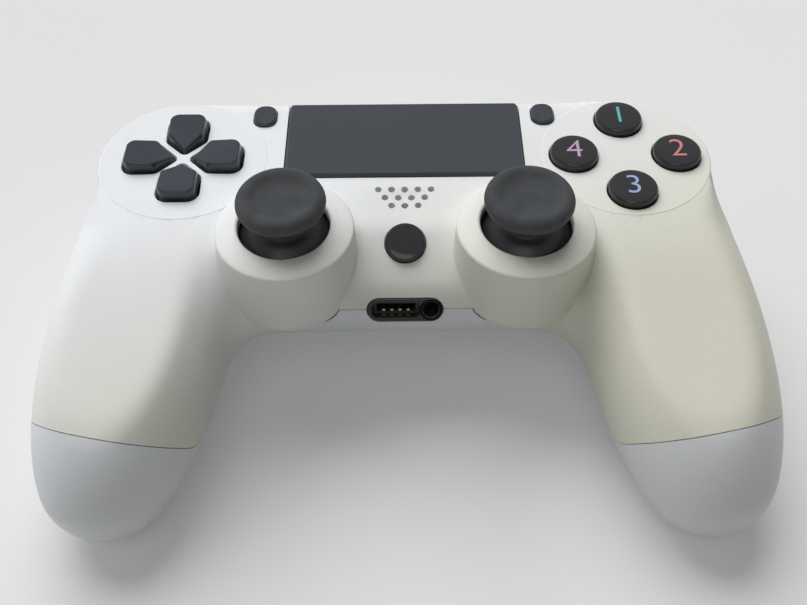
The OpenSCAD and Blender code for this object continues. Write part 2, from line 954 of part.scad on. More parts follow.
module trigger_section(x, thick) {
  translate([x, 0, 0])
    rotate([90, 0, 90])
      linear_extrude(thick)
        children();
}

module at_trigger_pin() {
  translate([TRIGGER_PIVOT.y, TRIGGER_PIVOT.z])
    children();
}

module trigger(side) {
  left = TRIGGER_PIVOT.x - trigger_w / 2;
  // Inner edge of each cheek, from the lower lip up to the pin
  inner = [
    [47.4, 1.2], [45.4, F - 29], [43.2, F - 21], [43, TRIGGER_PIVOT.z], [TRIGGER_PIVOT.y, TRIGGER_TOP]
  ];
  color(BLACK)
    at_side(side) {
      trigger_section(left, trigger_w)
        polygon(concat(blade(0), backwards(blade(TRIGGER_WALL))));
      for (x = [left, left + trigger_w - CHEEK])
        trigger_section(x, CHEEK)
          difference() {
            union() {
              at_trigger_pin()
                circle(EAR_R);
              polygon(concat(blade(1), inner));
            }
            at_trigger_pin()
              circle(pin_r + pin_play);
          }
    }
}

module trigger_bracket(side) {
  plate = [20, 1.6, 14.5];
  plate_y = 36;
  ear = 2;
  color(SLATE)
    at_side(side) {
      translate([TRIGGER_PIVOT.x - plate.x / 2, plate_y, WING_Z - WING_T - plate.z])
        cube(plate);
      for (x = [-8, 6])
        trigger_section(TRIGGER_PIVOT.x + x, ear)
          difference() {
            hull() {
              at_trigger_pin()
                circle(2.5);
              translate([plate_y + 0.8, TRIGGER_PIVOT.z - 5])
                square([1, 7]);
            }
            at_trigger_pin()
              circle(pin_r);
          }
    }
}

module trigger_pin(side) {
  over = 0.3;
  color(STEEL)
    at_side(side)
      translate([TRIGGER_PIVOT.x - trigger_w / 2 - over, TRIGGER_PIVOT.y, TRIGGER_PIVOT.z])
        rotate([0, 90, 0])
          cylinder(h = trigger_w + 2 * over, r = pin_r);
}

// Torsion spring: its closed coil round the pin and the leg that bears on the bracket
module trigger_spring(side) {
  coil_r = 2.2;
  wire = 0.7;
  color(STEEL)
    at_side(side)
      translate([TRIGGER_PIVOT.x - 5.6, TRIGGER_PIVOT.y, TRIGGER_PIVOT.z]) {
        rotate([0, 90, 0])
          difference() {
            cylinder(h = 6, r = coil_r);
            translate([0, 0, -1])
              cylinder(h = 8, r = coil_r - wire);
          }
        translate([0, 37.6 - TRIGGER_PIVOT.y, -coil_r])
          cube([wire, 7.4, wire]);
      }
}

module at_stick(side) {
  translate([side * STICK.x, STICK.y, STICK.z])
    children();
}

// Sprung gimbal module: base, sheet-metal cover and the two position sensors on its sides
module stick_module(side) {
  base = [15, 15, 1.2];
  cover = [14.8, 14.8, 8.4];
  sheet = 0.6;
  mouth = 11.8;
  sensor = [3.4, 8, 5.8];
  base_z = BOARD_Z - STICK.z;
  color(STEEL)
    at_stick(side) {
      translate([-base.x / 2, -base.y / 2, base_z])
        cube(base);
      difference() {
        translate([-cover.x / 2, -cover.y / 2, base_z + 1.1])
          cube(cover);
        translate([sheet - cover.x / 2, sheet - cover.y / 2, base_z + 1.1 - sheet])
          cube([cover.x - 2 * sheet, cover.y - 2 * sheet, cover.z]);
        translate([-mouth / 2, -mouth / 2, 0])
          cube([mouth, mouth, 6]);
      }
      translate([side * 9.1 - sensor.x / 2, -sensor.y / 2, base_z + 2])
        cube(sensor);
      translate([-sensor.y / 2, -10.8, base_z + 2])
        cube([sensor.y, sensor.x, sensor.z]);
    }
}

module stick_carrier(side) {
  floor_z = -4.5;
  cheek_x = 5.3;
  cheek = 1.2;
  color(BLACK)
    at_stick(side) {
      translate([-6, -4.5, floor_z])
        cube([12, 9, 1]);
      for (s = SIDES)
        trigger_section(s * cheek_x - cheek / 2, cheek)
          difference() {
            union() {
              circle(2);
              translate([-2, floor_z + 0.2])
                square([4, -floor_z - 0.2]);
            }
            circle(1.05);
          }
    }
}

module stick_yoke(side) {
  size = [7.2, 6, 3];
  slot = [4.8, 3, 4];
  color(STEEL)
    at_stick(side) {
      difference() {
        cube(size, center = true);
        cube(slot, center = true);
        rotate([90, 0, 0])
          cylinder(h = 8, r = 0.85, center = true);
      }
      for (s = SIDES)
        translate([s * 4.7, 0, 0])
          rotate([0, 90, 0])
            cylinder(h = 2.4, r = 1, center = true);
    }
}

// Stick core: shaft with its cross pin, the dome that fills the hole, the neck and the cap's plate
NECK_R = 4.8;
CAP_SEAT_R = 7.4;

module stick(side) {
  skin = 1;
  rim = 70;
  color(BLACK)
    at_stick(side) {
      translate([0, 0, -1.2])
        cylinder(h = dome_r + 0.8, r = 1.15);
      rotate([90, 0, 0])
        cylinder(h = 5.6, r = 0.8, center = true);
      rotate_extrude($fn = 56)
        polygon([
          for (a = [10 : 6 : rim]) (dome_r - skin) * [sin(a), cos(a)],
          for (a = [rim : -6 : 28]) dome_r * [sin(a), cos(a)],
          [NECK_R, dome_r - 0.6],
          [NECK_R, CAP_Z - 3.2],
          [CAP_SEAT_R, CAP_Z - 2.2],
          [CAP_SEAT_R, CAP_Z - 0.6],
          [0, CAP_Z - 0.6],
          [0, dome_r - skin]
        ]);
    }
}

// Rubber cap: a broad round rim about a dish for the thumb, drawn in below to the neck
module stick_cap(side) {
  rim = 1.9;
  rim_z = CAP_Z - 0.9;
  color(SLATE)
    at_stick(side)
      rotate_extrude($fn = 56)
        polygon([
          [NECK_R, CAP_Z - 4],
          [NECK_R + 1.2, CAP_Z - 3.7],
          [cap_r - 1.5, CAP_Z - 2.9],
          for (a = [-30 : 20 : 90]) [cap_r - rim + rim * cos(a), rim_z + rim * sin(a)],
          [cap_r - rim - 1.1, CAP_Z + 0.75],
          [cap_r - rim - 2.1, CAP_Z + 0.3],
          [3, CAP_Z],
          [0, CAP_Z],
          [0, CAP_Z - 0.6],
          [CAP_SEAT_R, CAP_Z - 0.6],
          [CAP_SEAT_R, CAP_Z - 2.2],
          [NECK_R, CAP_Z - 3.2]
        ]);
}

module stick_spring(side) {
  color(STEEL)
    at_stick(side)
      translate([0, 0, -5.2])
        difference() {
          cylinder(h = 0.65, r = 3.8);
          translate([0, 0, -1])
            cylinder(h = 3, r = 3.1);
        }
}

module shell_screws() {
  head = [2.3, 1.6];
  slot = [2.8, 0.6, 2];
  color(STEEL)
    for (s = SIDES, p = SCREWS)
      translate([s * p.x, p.y, p.z + 3.4])
        difference() {
          union() {
            cylinder(h = head[1], r = head[0]);
            cylinder(h = head[1] + 12, r = 1.1);
          }
          for (a = [0, 90])
            rotate([0, 0, a])
              translate([0, 0, -slot.z / 2])
                translate([-slot.x / 2, -slot.y / 2, 0])
                  cube(slot);
        }
}

front_shell();
rear_shell();
light_bar();
port_plate();
expansion_connector();
expansion_contacts();
headset_socket();
charging_socket();
charging_board();
main_board();
inner_frame();
battery();
speaker();
motor(-1);  // left_motor
motor(1);  // right_motor
motor_weight(-1);  // left_motor_weight
motor_weight(1);  // right_motor_weight
dpad();
dpad_pivot();
dpad_pad();
button_pad();
face_button(90);  // button_top
face_button(0);  // button_right
face_button(270);  // button_bottom
face_button(180);  // button_left
touchpad();
touchpad_switch();
menu_button(-1);  // left_menu_button
menu_button(1);  // right_menu_button
home_button();
bumper(-1);  // left_bumper
bumper(1);  // right_bumper
trigger(-1);  // left_trigger
trigger(1);  // right_trigger
trigger_bracket(-1);  // left_trigger_bracket
trigger_bracket(1);  // right_trigger_bracket
trigger_pin(-1);  // left_trigger_pin
trigger_pin(1);  // right_trigger_pin
trigger_spring(-1);  // left_trigger_spring
trigger_spring(1);  // right_trigger_spring
stick_module(-1);  // left_stick_module
stick_module(1);  // right_stick_module
stick_carrier(-1);  // left_stick_carrier
stick_carrier(1);  // right_stick_carrier
stick_yoke(-1);  // left_stick_yoke
stick_yoke(1);  // right_stick_yoke
stick(-1);  // left_stick
stick(1);  // right_stick
stick_cap(-1);  // left_stick_cap
stick_cap(1);  // right_stick_cap
stick_spring(-1);  // left_stick_spring
stick_spring(1);  // right_stick_spring
shell_screws();
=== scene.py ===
"""Looks of a two-handed wireless game controller. Lengths are millimetres until a mesh is made."""

import json
import math

import bpy
import numpy as np
from mathutils import Matrix, Vector


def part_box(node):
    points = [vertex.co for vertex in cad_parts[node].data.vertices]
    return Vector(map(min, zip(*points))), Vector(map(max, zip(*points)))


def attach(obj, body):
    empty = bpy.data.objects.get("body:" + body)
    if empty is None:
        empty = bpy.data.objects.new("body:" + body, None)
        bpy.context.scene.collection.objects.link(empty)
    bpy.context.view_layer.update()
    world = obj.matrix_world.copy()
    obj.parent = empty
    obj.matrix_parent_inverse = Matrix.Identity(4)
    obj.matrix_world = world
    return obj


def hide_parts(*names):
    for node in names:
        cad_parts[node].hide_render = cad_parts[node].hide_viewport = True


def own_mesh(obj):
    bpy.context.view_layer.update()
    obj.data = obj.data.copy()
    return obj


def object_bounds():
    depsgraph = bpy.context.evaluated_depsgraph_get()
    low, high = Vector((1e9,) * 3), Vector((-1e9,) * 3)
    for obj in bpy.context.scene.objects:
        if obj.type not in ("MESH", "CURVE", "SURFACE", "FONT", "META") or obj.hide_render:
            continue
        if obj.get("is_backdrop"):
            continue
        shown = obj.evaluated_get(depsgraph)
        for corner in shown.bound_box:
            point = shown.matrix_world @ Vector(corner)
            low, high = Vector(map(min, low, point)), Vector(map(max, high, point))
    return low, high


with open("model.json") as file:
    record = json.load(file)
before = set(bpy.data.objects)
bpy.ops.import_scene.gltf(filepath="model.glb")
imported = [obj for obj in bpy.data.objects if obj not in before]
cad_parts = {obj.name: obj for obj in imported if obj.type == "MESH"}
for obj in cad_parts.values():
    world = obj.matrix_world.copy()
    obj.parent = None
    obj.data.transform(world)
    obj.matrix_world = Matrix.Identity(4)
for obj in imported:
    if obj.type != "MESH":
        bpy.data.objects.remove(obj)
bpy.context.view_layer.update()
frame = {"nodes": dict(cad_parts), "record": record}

# The view: the controller lies on a pale studio floor, seen from above the player's lap. A large
# soft lamp stands behind it and a weaker one at its left. A faint one high in front puts a fine
# shine on front edges, and a pale surround fills the shadows.
scene = bpy.context.scene
scene.view_settings.view_transform = "Standard"
PHOTO_WIDTH = 807
FOCAL_PIXELS = 1019
EYE = (-0.00074, -0.1475, 0.2014)
PITCH, YAW, ROLL = (math.radians(angle) for angle in (50.45, 0.09, -0.46))
camera = bpy.data.objects.new("camera", bpy.data.cameras.new("camera"))
scene.collection.objects.link(camera)
scene.camera = camera
camera.data.lens = camera.data.sensor_width * FOCAL_PIXELS / PHOTO_WIDTH
camera.data.clip_start = 0.01
look = Vector((
    math.sin(YAW) * math.cos(PITCH), math.cos(YAW) * math.cos(PITCH), -math.sin(PITCH),
))
level = look.cross(Vector((0, 0, 1))).normalized()
upright = level.cross(look)
right = level * math.cos(ROLL) + upright * math.sin(ROLL)
up = upright * math.cos(ROLL) - level * math.sin(ROLL)
facing = Matrix((right, up, -look)).transposed().to_4x4()
camera.matrix_world = Matrix.Translation(EYE) @ facing


class Wire:
    """One socket of a node tree. Arithmetic on wires adds Math nodes to that tree."""

    def __init__(self, tree, socket=None):
        self.tree = tree
        self.socket = socket

    def node(self, kind, settings=None, inputs=None, output=0):
        """Adds a node: first its settings, then the values or links of its sockets."""
        made = self.tree.nodes.new(kind)
        for name, value in (settings or {}).items():
            setattr(made, name, value)
        for name, value in (inputs or {}).items():
            if isinstance(value, (Wire, list)):
                for wire in value if isinstance(value, list) else [value]:
                    self.tree.links.new(wire.socket, made.inputs[name])
            else:
                made.inputs[name].default_value = value
        return Wire(self.tree, made.outputs[output])

    def maths(self, operation, first, second):
        return self.node("ShaderNodeMath", {"operation": operation}, {0: first, 1: second})

    def __add__(self, other):
        return self.maths("ADD", self, other)

    def __sub__(self, other):
        return self.maths("SUBTRACT", self, other)

    def __rsub__(self, other):
        return self.maths("SUBTRACT", other, self)

    def __mul__(self, other):
        return self.maths("MULTIPLY", self, other)

    __radd__ = __add__
    __rmul__ = __mul__

    def ramp(self, low, high):
        """0 below low, 1 above high, smooth between."""
        return self.node(
            "ShaderNodeMapRange",
            {"interpolation_type": "SMOOTHSTEP"},
            {"Value": self, "From Min": low, "From Max": high},
        )

    def colour(self, at_zero, at_one):
        inputs = {0: self, 6: at_zero, 7: at_one}
        return self.node("ShaderNodeMix", {"data_type": "RGBA"}, inputs, 2)

    def noise(self, size, detail=2.0):
        """Noise on this vector, with features about size millimetres across."""
        inputs = {"Vector": self, "Scale": 1000 / size, "Detail": detail}
        return self.node("ShaderNodeTexNoise", {}, inputs)

    def ray(self, first, *others):
        """1 on rays of these kinds, 0 on the rest."""
        kinds = self.tree.nodes.new("ShaderNodeLightPath").outputs
        wires = (Wire(self.tree, kinds[kind]) for kind in others)
        return sum(wires, Wire(self.tree, kinds[first]))

    def into(self, shader, name):
        self.tree.links.new(self.socket, shader.inputs[name])


def surface(name):
    """A new material, its shader, and a wire that carries the piece's own coordinates."""
    material = bpy.data.materials.new(name)
    material.use_nodes = True
    shader = material.node_tree.nodes["Principled BSDF"]
    return material, shader, Wire(material.node_tree).node("ShaderNodeTexCoord", output="Object")


def make(name, points, faces, material, mirror=False):
    """A mesh object at the origin from points in millimetres, mirrored across X on request."""
    points = np.asarray(points, dtype=float) / 1000
    if mirror:
        points = points * (-1, 1, 1)
        faces = [tuple(reversed(face)) for face in faces]
    mesh = bpy.data.meshes.new(name)
    mesh.from_pydata(points.tolist(), [], faces)
    mesh.materials.append(material)
    piece = bpy.data.objects.new(name, mesh)
    scene.collection.objects.link(piece)
    return piece


FLOOR, FLOOR_Z = 3000, -0.05
PALENESS = 0.2
floor_paint, shader, place = surface("floor_paint")
pale, paler = (0.745, 0.745, 0.745, 1), (0.755, 0.755, 0.755, 1)
place.noise(60).colour(pale, paler).into(shader, "Base Color")
shader.inputs["Roughness"].default_value = 0.85
shader.inputs["Specular IOR Level"].default_value = 0.2
seen = place.ray("Is Camera Ray", "Is Glossy Ray", "Is Transmission Ray") * PALENESS
glow = place.node("ShaderNodeEmission", {}, {"Color": (0.75, 0.75, 0.75, 1)})
lit = Wire(place.tree, shader.outputs[0])
blended = place.node("ShaderNodeMixShader", {}, {0: seen, 1: lit, 2: glow})
blended.into(place.tree.nodes["Material Output"], "Surface")
corners = [(x * FLOOR, y * FLOOR, FLOOR_Z) for x, y in ((-1, -1), (1, -1), (1, 1), (-1, 1))]
make("floor", corners, [(0, 1, 2, 3)], floor_paint)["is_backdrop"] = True

SURROUND, MIRRORED, BACKDROP = 0.08, 0.45, 0.78
scene.world = bpy.data.worlds.new("surround")
scene.world.use_nodes = True
sky = Wire(scene.world.node_tree)
strength = sky.ray("Is Glossy Ray") * (MIRRORED - SURROUND) + SURROUND
strength = strength + sky.ray("Is Camera Ray", "Is Transmission Ray") * (BACKDROP - SURROUND)
strength.into(sky.tree.nodes["Background"], "Strength")
sky.tree.nodes["Background"].inputs["Color"].default_value = (1, 0.985, 0.95, 1)

for name, energy, spread, way, mirrored in (
    ("back_lamp", 3.25, 54, (0.22, -0.63, -0.75), False),
    ("side_lamp", 0.45, 60, (0.85, -0.10, -0.50), False),
    ("top_lamp", 0.3, 34, (0.10, 0.50, -0.86), True),
):
    lamp = bpy.data.objects.new(name, bpy.data.lights.new(name, "SUN"))
    lamp.data.energy = energy
    lamp.data.angle = math.radians(spread)
    lamp.rotation_euler = Vector(way).to_track_quat("-Z", "Y").to_euler()
    lamp.visible_glossy = mirrored
    scene.collection.objects.link(lamp)


# Housing: two thin shells of moulded plastic, screwed together from below along one seam.
# The front half has the flat face, two round faces and a rim round each stick; it has yellowed a
# little where hands hold it, and shade is painted in: both halves go darker towards the right
# front.
# The rear half, in a cooler grey, is the underside and the grip ends.
FACE = 40.6
WALL = 2.0
PLATE = 2.3
SEAM = 0.16
BACK_Y, BACK_LEAN = 48.3, 12
DISC_X, DISC_Y, DISC_R = 51.2, 29.0, 19.6
STICK_X, STICK_Y = 25.9, 3.6
# Grip: three points on its middle line, each with the radius there
GRIP = np.array([
    [56.7, 10.3, FACE - 17.8, 20.1],
    [60.5, -19.8, FACE - 21.5, 19.1],
    [63.3, -38.2, FACE - 27.2, 14.0],
])
SIDES = {"left": -1, "right": 1}
ALONG_X = Matrix(((0, 0, 1, 0), (1, 0, 0, 0), (0, 1, 0, 0), (0, 0, 0, 1)))


def on_both_sides(x, y):
    """The two places that lie x to the left and x to the right of the middle."""
    return {word: Matrix.Translation((side * x, y, 0)) for word, side in SIDES.items()}


DISC_AT = on_both_sides(DISC_X, DISC_Y)
STICK_AT = on_both_sides(STICK_X, STICK_Y)


def blend_min(a, b, k):
    """The smaller of two distances, with a fillet about k wide where they meet."""
    h = np.maximum(k - np.abs(a - b), 0) / k
    return np.minimum(a, b) - h * h * k / 4


def blend_max(a, b, k):
    return -blend_min(-a, -b, k)


def housing_distance(points):
    """Distance to the skin: a body between planes, two shoulders and two grips under a ceiling."""
    x, y, z = np.abs(points[..., 0]), points[..., 1], points[..., 2]

    def beyond(y0, z0, angle):
        angle = math.radians(angle)
        return (y - y0) * math.cos(angle) + (z - z0) * math.sin(angle)

    def limb(start, stop):
        along = stop[:3] - start[:3]
        offset = np.stack([x, y, z], axis=-1) - start[:3]
        t = np.clip(offset @ along / (along @ along), 0, 1)
        aside = np.linalg.norm(offset - t[..., None] * along, axis=-1)
        return aside - start[3] - (stop[3] - start[3]) * t

    body = z - FACE - 1.5
    for plane, blend in (
        (beyond(7.6, FACE, 126), 10),  # slope between the sticks
        (z - FACE, 1.2),  # face
        (beyond(22, FACE, 97), 0.6),  # slight fall in front of the touch surface
        (beyond(-7.8, FACE - 14.3, 190), 7),  # front
        (beyond(-4.8, FACE - 25.1, 235), 8),  # chin
        (FACE - 29.6 - z, 8),  # base
        (beyond(BACK_Y, FACE, BACK_LEAN), 0.8),  # back
        (beyond(49, FACE - 22.2, -40), 8),  # heel
        (x - 49.6, 6),  # ends, inside the shoulders
    ):
        body = blend_max(body, plane, blend)
    from_disc = np.hypot(x - DISC_X, y - DISC_Y) - DISC_R
    shoulder = blend_max(from_disc + 0.4 - (FACE - z) * 0.16, FACE - 29.3 - z, 8)
    t = np.linspace(0, 1, 25)[:, None]
    bends = GRIP[0] * (1 - t) * (1 - 2 * t) + GRIP[1] * 4 * t * (1 - t) + GRIP[2] * t * (2 * t - 1)
    grip = np.min([limb(start, stop) for start, stop in zip(bends, bends[1:])], axis=0)
    inward = np.clip((DISC_X - 12.2 - x) / 6, 0, 1)
    fall = 0.09 * np.maximum(from_disc + 0.2, 0) * np.clip((DISC_Y - y) / 12, 0, 1)
    ceiling = z - FACE + fall - 2.1 * inward
    ceiling = blend_max(ceiling, beyond(DISC_Y - DISC_R - 3.6, FACE - 0.1, 102), 0.9)
    joined = blend_min(blend_min(body, shoulder, 3), grip, 9.3)
    joined = blend_max(joined, ceiling, np.interp(y, [12, 20], [1.5, 0.2]))
    return np.maximum(blend_max(joined, -1.5 - z, 4), z - FACE)


def reach(starts, ways, distance):
    """How far each way goes from its start before the housing is that distance away."""
    farthest, halvings = 72.0, 26
    low = np.zeros(ways.shape[:-1])
    high = np.full(ways.shape[:-1], farthest)
    for _ in range(halvings):
        middle = (low + high) / 2
        inside = housing_distance(starts + middle[..., None] * ways) < distance
        low = np.where(inside, middle, low)
        high = np.where(inside, high, middle)
    return low


def loft(name, loops, material, mirror=False, ring=False):
    """A skin over loops of equal length, closed by flat ends or, in a ring, by its first loop."""
    loops = np.asarray(loops, dtype=float)
    count, length = loops.shape[:2]
    faces = []
    for i in range(count if ring else count - 1):
        start, after = i * length, (i + 1) % count * length
        for j in range(length):
            k = (j + 1) % length
            faces.append((start + j, start + k, after + k, after + j))
    if not ring:
        faces += [tuple(range(length))[::-1], tuple(range((count - 1) * length, count * length))]
    return make(name, loops.reshape(-1, 3), faces, material, mirror)


def housing_skin(name, distance, rings, rays, material):
    """Rings of points across X on the surface at that distance from the housing's skin."""
    flank = np.array([62, -19, FACE - 22.6])
    tip = flank[0] + float(reach(flank, np.array([1.0, 0, 0]), distance))
    across = tip * np.sin(np.linspace(-1, 1, 2 * rings + 1)[1:-1] * math.pi / 2)
    stations = [0, 38, 55, 69, 80]
    hearts = np.stack([
        across,
        np.interp(np.abs(across), stations, [22, 22, 4, -10, -19]),
        FACE + np.interp(np.abs(across), stations, [-15, -15, -18, -21, -22.6]),
    ], axis=-1)[:, None]
    angles = np.linspace(0, 2 * math.pi, rays, endpoint=False)
    ways = np.stack([0 * angles, 2 * np.cos(angles), np.sin(angles)], axis=-1)
    ways = ways / np.linalg.norm(ways, axis=-1, keepdims=True)
    ways = np.broadcast_to(ways, (len(across), rays, 3))
    return loft(name, hearts + reach(hearts, ways, distance)[..., None] * ways, material)


def moved(points, place):
    """The points carried to their place."""
    place = np.array(place)
    return np.asarray(points) @ place[:3, :3].T + place[:3, 3]


def lathe(name, profile, material, place=Matrix(), segments=96, ring=False):
    """A turned solid from (radius, height) pairs: the outside upwards, in a ring the inside too."""
    smallest = 0.02
    angles = np.linspace(0, 2 * math.pi, segments, endpoint=False)
    circle = np.stack([np.cos(angles), np.sin(angles), 0 * angles], axis=-1)
    loops = np.array([circle * max(r, smallest) + (0, 0, z) for r, z in profile])
    return loft(name, moved(loops, place), material, ring=ring)


def rod(name, radius, low, high, material, place, segments=96):
    """A plain round bar between two heights of its place."""
    return lathe(name, [(radius, low), (radius, high)], material, place, segments)


def arc(centre, radius, start, stop, steps):
    """Points on a circle, or an ellipse where radius is a pair, between two angles in degrees."""
    rx, ry = np.broadcast_to(radius, 2)
    angles = np.radians(np.linspace(start, stop, steps + 1))
    return [(centre[0] + rx * math.cos(a), centre[1] + ry * math.sin(a)) for a in angles]


def rounded(corners, radius, steps=8):
    """A polygon given anticlockwise, with its corners rounded."""
    corners = np.asarray(corners, dtype=float)
    outline = []
    for i, corner in enumerate(corners):
        before = corners[i - 1] - corner
        after = corners[(i + 1) % len(corners)] - corner
        before, after = before / np.linalg.norm(before), after / np.linalg.norm(after)
        half = math.acos(np.clip(before @ after, -1, 1)) / 2
        inward = (before + after) / np.linalg.norm(before + after)
        centre = corner + inward * radius / math.sin(half)
        first = corner + before * radius / math.tan(half) - centre
        start = math.degrees(math.atan2(first[1], first[0]))
        outline += arc(centre, radius, start, start + 180 - 2 * math.degrees(half), steps)
    return np.array(outline)


def inset(outline, depth):
    """The outline drawn in by depth along its normals."""
    outline = np.asarray(outline)
    along = np.roll(outline, -1, axis=0) - np.roll(outline, 1, axis=0)
    along = along / np.linalg.norm(along, axis=1, keepdims=True)
    return outline - np.column_stack([along[:, 1], -along[:, 0]]) * depth


def pill(width, depth, radius=None):
    """A rounded rectangle about the middle, with round ends where no radius is given."""
    radius = radius or min(width, depth) / 2 - 0.001
    w, d = width / 2, depth / 2
    return rounded([(-w, -d), (w, -d), (w, d), (-w, d)], radius, 10)


def at_height(outline, z):
    """A flat outline as a loop of points at height z."""
    return np.column_stack([outline, np.full(len(outline), z)])


def prism(name, outline, low, high, material, place=Matrix(), mirror=False):
    """A flat outline drawn out along Z from low to high, then put in its place."""
    loops = [at_height(outline, z) for z in (low, high)]
    return loft(name, moved(loops, place), material, mirror)


def settle(piece):
    """Turns the piece's modifiers into plain mesh."""
    graph = bpy.context.evaluated_depsgraph_get()
    mesh = bpy.data.meshes.new_from_object(piece.evaluated_get(graph), depsgraph=graph)
    piece.modifiers.clear()
    piece.data = mesh
    return piece


def carve(piece, operation, *tools):
    """Cuts tools from the piece, joins them to it or keeps what they share, and uses them up."""
    for tool in tools:
        change = piece.modifiers.new("carve", "BOOLEAN")
        change.solver = "MANIFOLD"
        change.operation = operation
        change.object = tool
    settle(piece)
    for tool in tools:
        bpy.data.objects.remove(tool)
    return piece


def smooth(piece, angle=32):
    """Soft shading with crisp creases, weighted so that flat faces stay flat."""
    piece.data.polygons.foreach_set("use_smooth", [True] * len(piece.data.polygons))
    piece.data.set_sharp_from_angle(angle=math.radians(angle))
    weighted = piece.modifiers.new("normals", "WEIGHTED_NORMAL")
    weighted.keep_sharp = True
    weighted.weight = 60
    return settle(piece)


def stands_for(piece, node, body):
    """Puts the piece on its body in place of the frame's node."""
    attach(piece, body)
    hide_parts(node)


def grain(shader, height, strength, depth):
    """Bumps of the given depth, in millimetres, where height goes from 0 to 1."""
    inputs = {"Strength": strength, "Distance": depth / 1000, "Height": height}
    height.node("ShaderNodeBump", {}, inputs).into(shader, "Normal")


def moulded(name, cool, warm_shaded_white, yellowing_and_shade_span):
    """Spark-textured plastic, darker and warmer to the right front: yellowing and painted shade."""
    material, shader, place = surface(name)
    x, y = (place.node("ShaderNodeSeparateXYZ", {}, {0: place}, output=axis) for axis in "XY")
    blotch = (place.noise(28, 3) - 0.5) * 0.02
    # Painted shade and some yellowing: darker, warmer white towards the right and the front
    yellowing_and_shade = (x * 0.5 - y + blotch).ramp(*yellowing_and_shade_span).colour(cool, warm_shaded_white)
    speckle = place.noise(0.9, 1).ramp(0.25, 0.8) * 0.05
    darkening = {"data_type": "RGBA", "blend_type": "MULTIPLY"}
    shades = {0: speckle, 6: yellowing_and_shade, 7: (0.6, 0.6, 0.55, 1)}
    yellowing_and_shade.node("ShaderNodeMix", darkening, shades, 2).into(shader, "Base Color")
    (place.noise(9, 3) * 0.16 + 0.34).into(shader, "Roughness")
    grain(shader, place.noise(0.28, 2), 0.35, 0.012)
    return material


# Both halves get painted shade towards the right front, on top of a little yellowing.
shell_ivory = moulded(
    "shell_ivory", (0.81, 0.83, 0.865, 1), (0.68, 0.675, 0.575, 1), (-0.05, 0.04))
shell_grey = moulded(
    "shell_grey", (0.71, 0.74, 0.77, 1), (0.65, 0.67, 0.69, 1), (-0.03, 0.07))


def front_zone(grow):
    """The front half's share: above the level seam, behind the slanted seam across each grip."""
    splay = Matrix.Rotation(math.radians(12.85), 4, "Z")
    at_grip = Matrix.Translation((61, -39.6, FACE - 11.3)) @ splay @ ALONG_X
    slope = rounded([(-35.66, 50), (9.99, -14), (140, -14), (140, 50)], 5)
    zone = prism("zone", pill(60, 140, 1), FACE - 12.3 - grow, 90, shell_ivory)
    for mirror in (False, True):
        half = prism("half", inset(slope, -grow), -60, 60, shell_ivory, at_grip, mirror)
        keep = prism("keep", pill(61, 180, 1) + (60, 0), -10, 120, shell_ivory, mirror=mirror)
        carve(half, "INTERSECT", keep)
        carve(zone, "UNION", half)
    return zone


def rim(grow):
    """Section of the raised rim round a stick, closed across its hole."""
    return [
        (10.6 + grow, FACE - 16.5 - grow),
        *arc((10.6, FACE - 11.5), (4.4 + grow, 5 + grow), -65, 8, 14),
        (15.4 + grow, FACE - 4),
        (15.05 + grow, FACE + 1.6),
        *arc((14.3, FACE + 2.6), 0.7, 0, 74, 8),
        (10.9, FACE + 4.5),
    ]


RINGS, RAYS = 110, 220
front = housing_skin("front_shell_skin", 0, RINGS, RAYS, shell_ivory)
rear = housing_skin("rear_shell_skin", 0, RINGS, RAYS, shell_grey)
carve(front, "INTERSECT", front_zone(0))
disc = [(DISC_R - 0.1, FACE - PLATE), *arc((DISC_R - 0.4, FACE - 0.34), 0.4, 4, 90, 6)]
for word in SIDES:
    carve(front, "UNION", lathe("disc", disc, shell_ivory, DISC_AT[word], 160))
    carve(front, "UNION", lathe("rim", rim(0), shell_ivory, STICK_AT[word], 120))
for half in (front, rear):
    cavity = housing_skin("cavity", -WALL, 40, 72, shell_grey)
    lid = prism("lid", pill(220, 220, 1), -5, FACE - PLATE, shell_grey)
    carve(half, "DIFFERENCE", carve(cavity, "INTERSECT", lid))
carve(rear, "DIFFERENCE", front_zone(SEAM))

# Openings of the face: round ones for the buttons and shaped ones for the keys, each with a soft
# lip, and pockets behind them for what holds the keys in. The mould forms them all.
BUTTON_R, BUTTON_RING = 5.5, 11.9
BUTTON_LIP = 0.35
CLUSTER_R = 16.3
KEY_REACH, KEY_W = 13.6, 9.2
# Widening and height of each step of a key's hole
KEY_HOLE = [
    (0.38, FACE - 9), (0.38, FACE - 0.25), (0.45, FACE - 0.08), (0.64, FACE + 0.15),
    (0.8, FACE + 3),
]
TOUCH_W, TOUCH_Y0, TOUCH_Y1 = 55.2, 22.6, 47.7
TOUCH_GAP = 0.25
MENU_AT = on_both_sides(33.3, 44.0)
MENU_SHAPE = pill(5.4, 7.0, 2.4) - (0, 0.5)
MENU_GAP = 0.2
HOME_AT = Matrix.Translation((0, 4.8, FACE - 3.1)) @ Matrix.Rotation(math.radians(25), 4, "X")
HOME_R = 4.45
PORT_AT = (
    Matrix.Translation((-0.2, -6.85, FACE - 12.3)) @ Matrix.Rotation(math.radians(60), 4, "X"))
STICK_PIVOT = FACE - 7.5
STICK_HOLE_R, SOCKET_R = 9.9, 14.0
QUARTERS = {angle: Matrix.Rotation(math.radians(angle), 4, "Z") for angle in (0, 90, 180, 270)}
KEY_AT = [DISC_AT["left"] @ quarter for quarter in QUARTERS.values()]
BUTTON_AT = {
    angle: DISC_AT["right"] @ quarter @ Matrix.Translation((BUTTON_RING, 0, 0))
    for angle, quarter in QUARTERS.items()
}


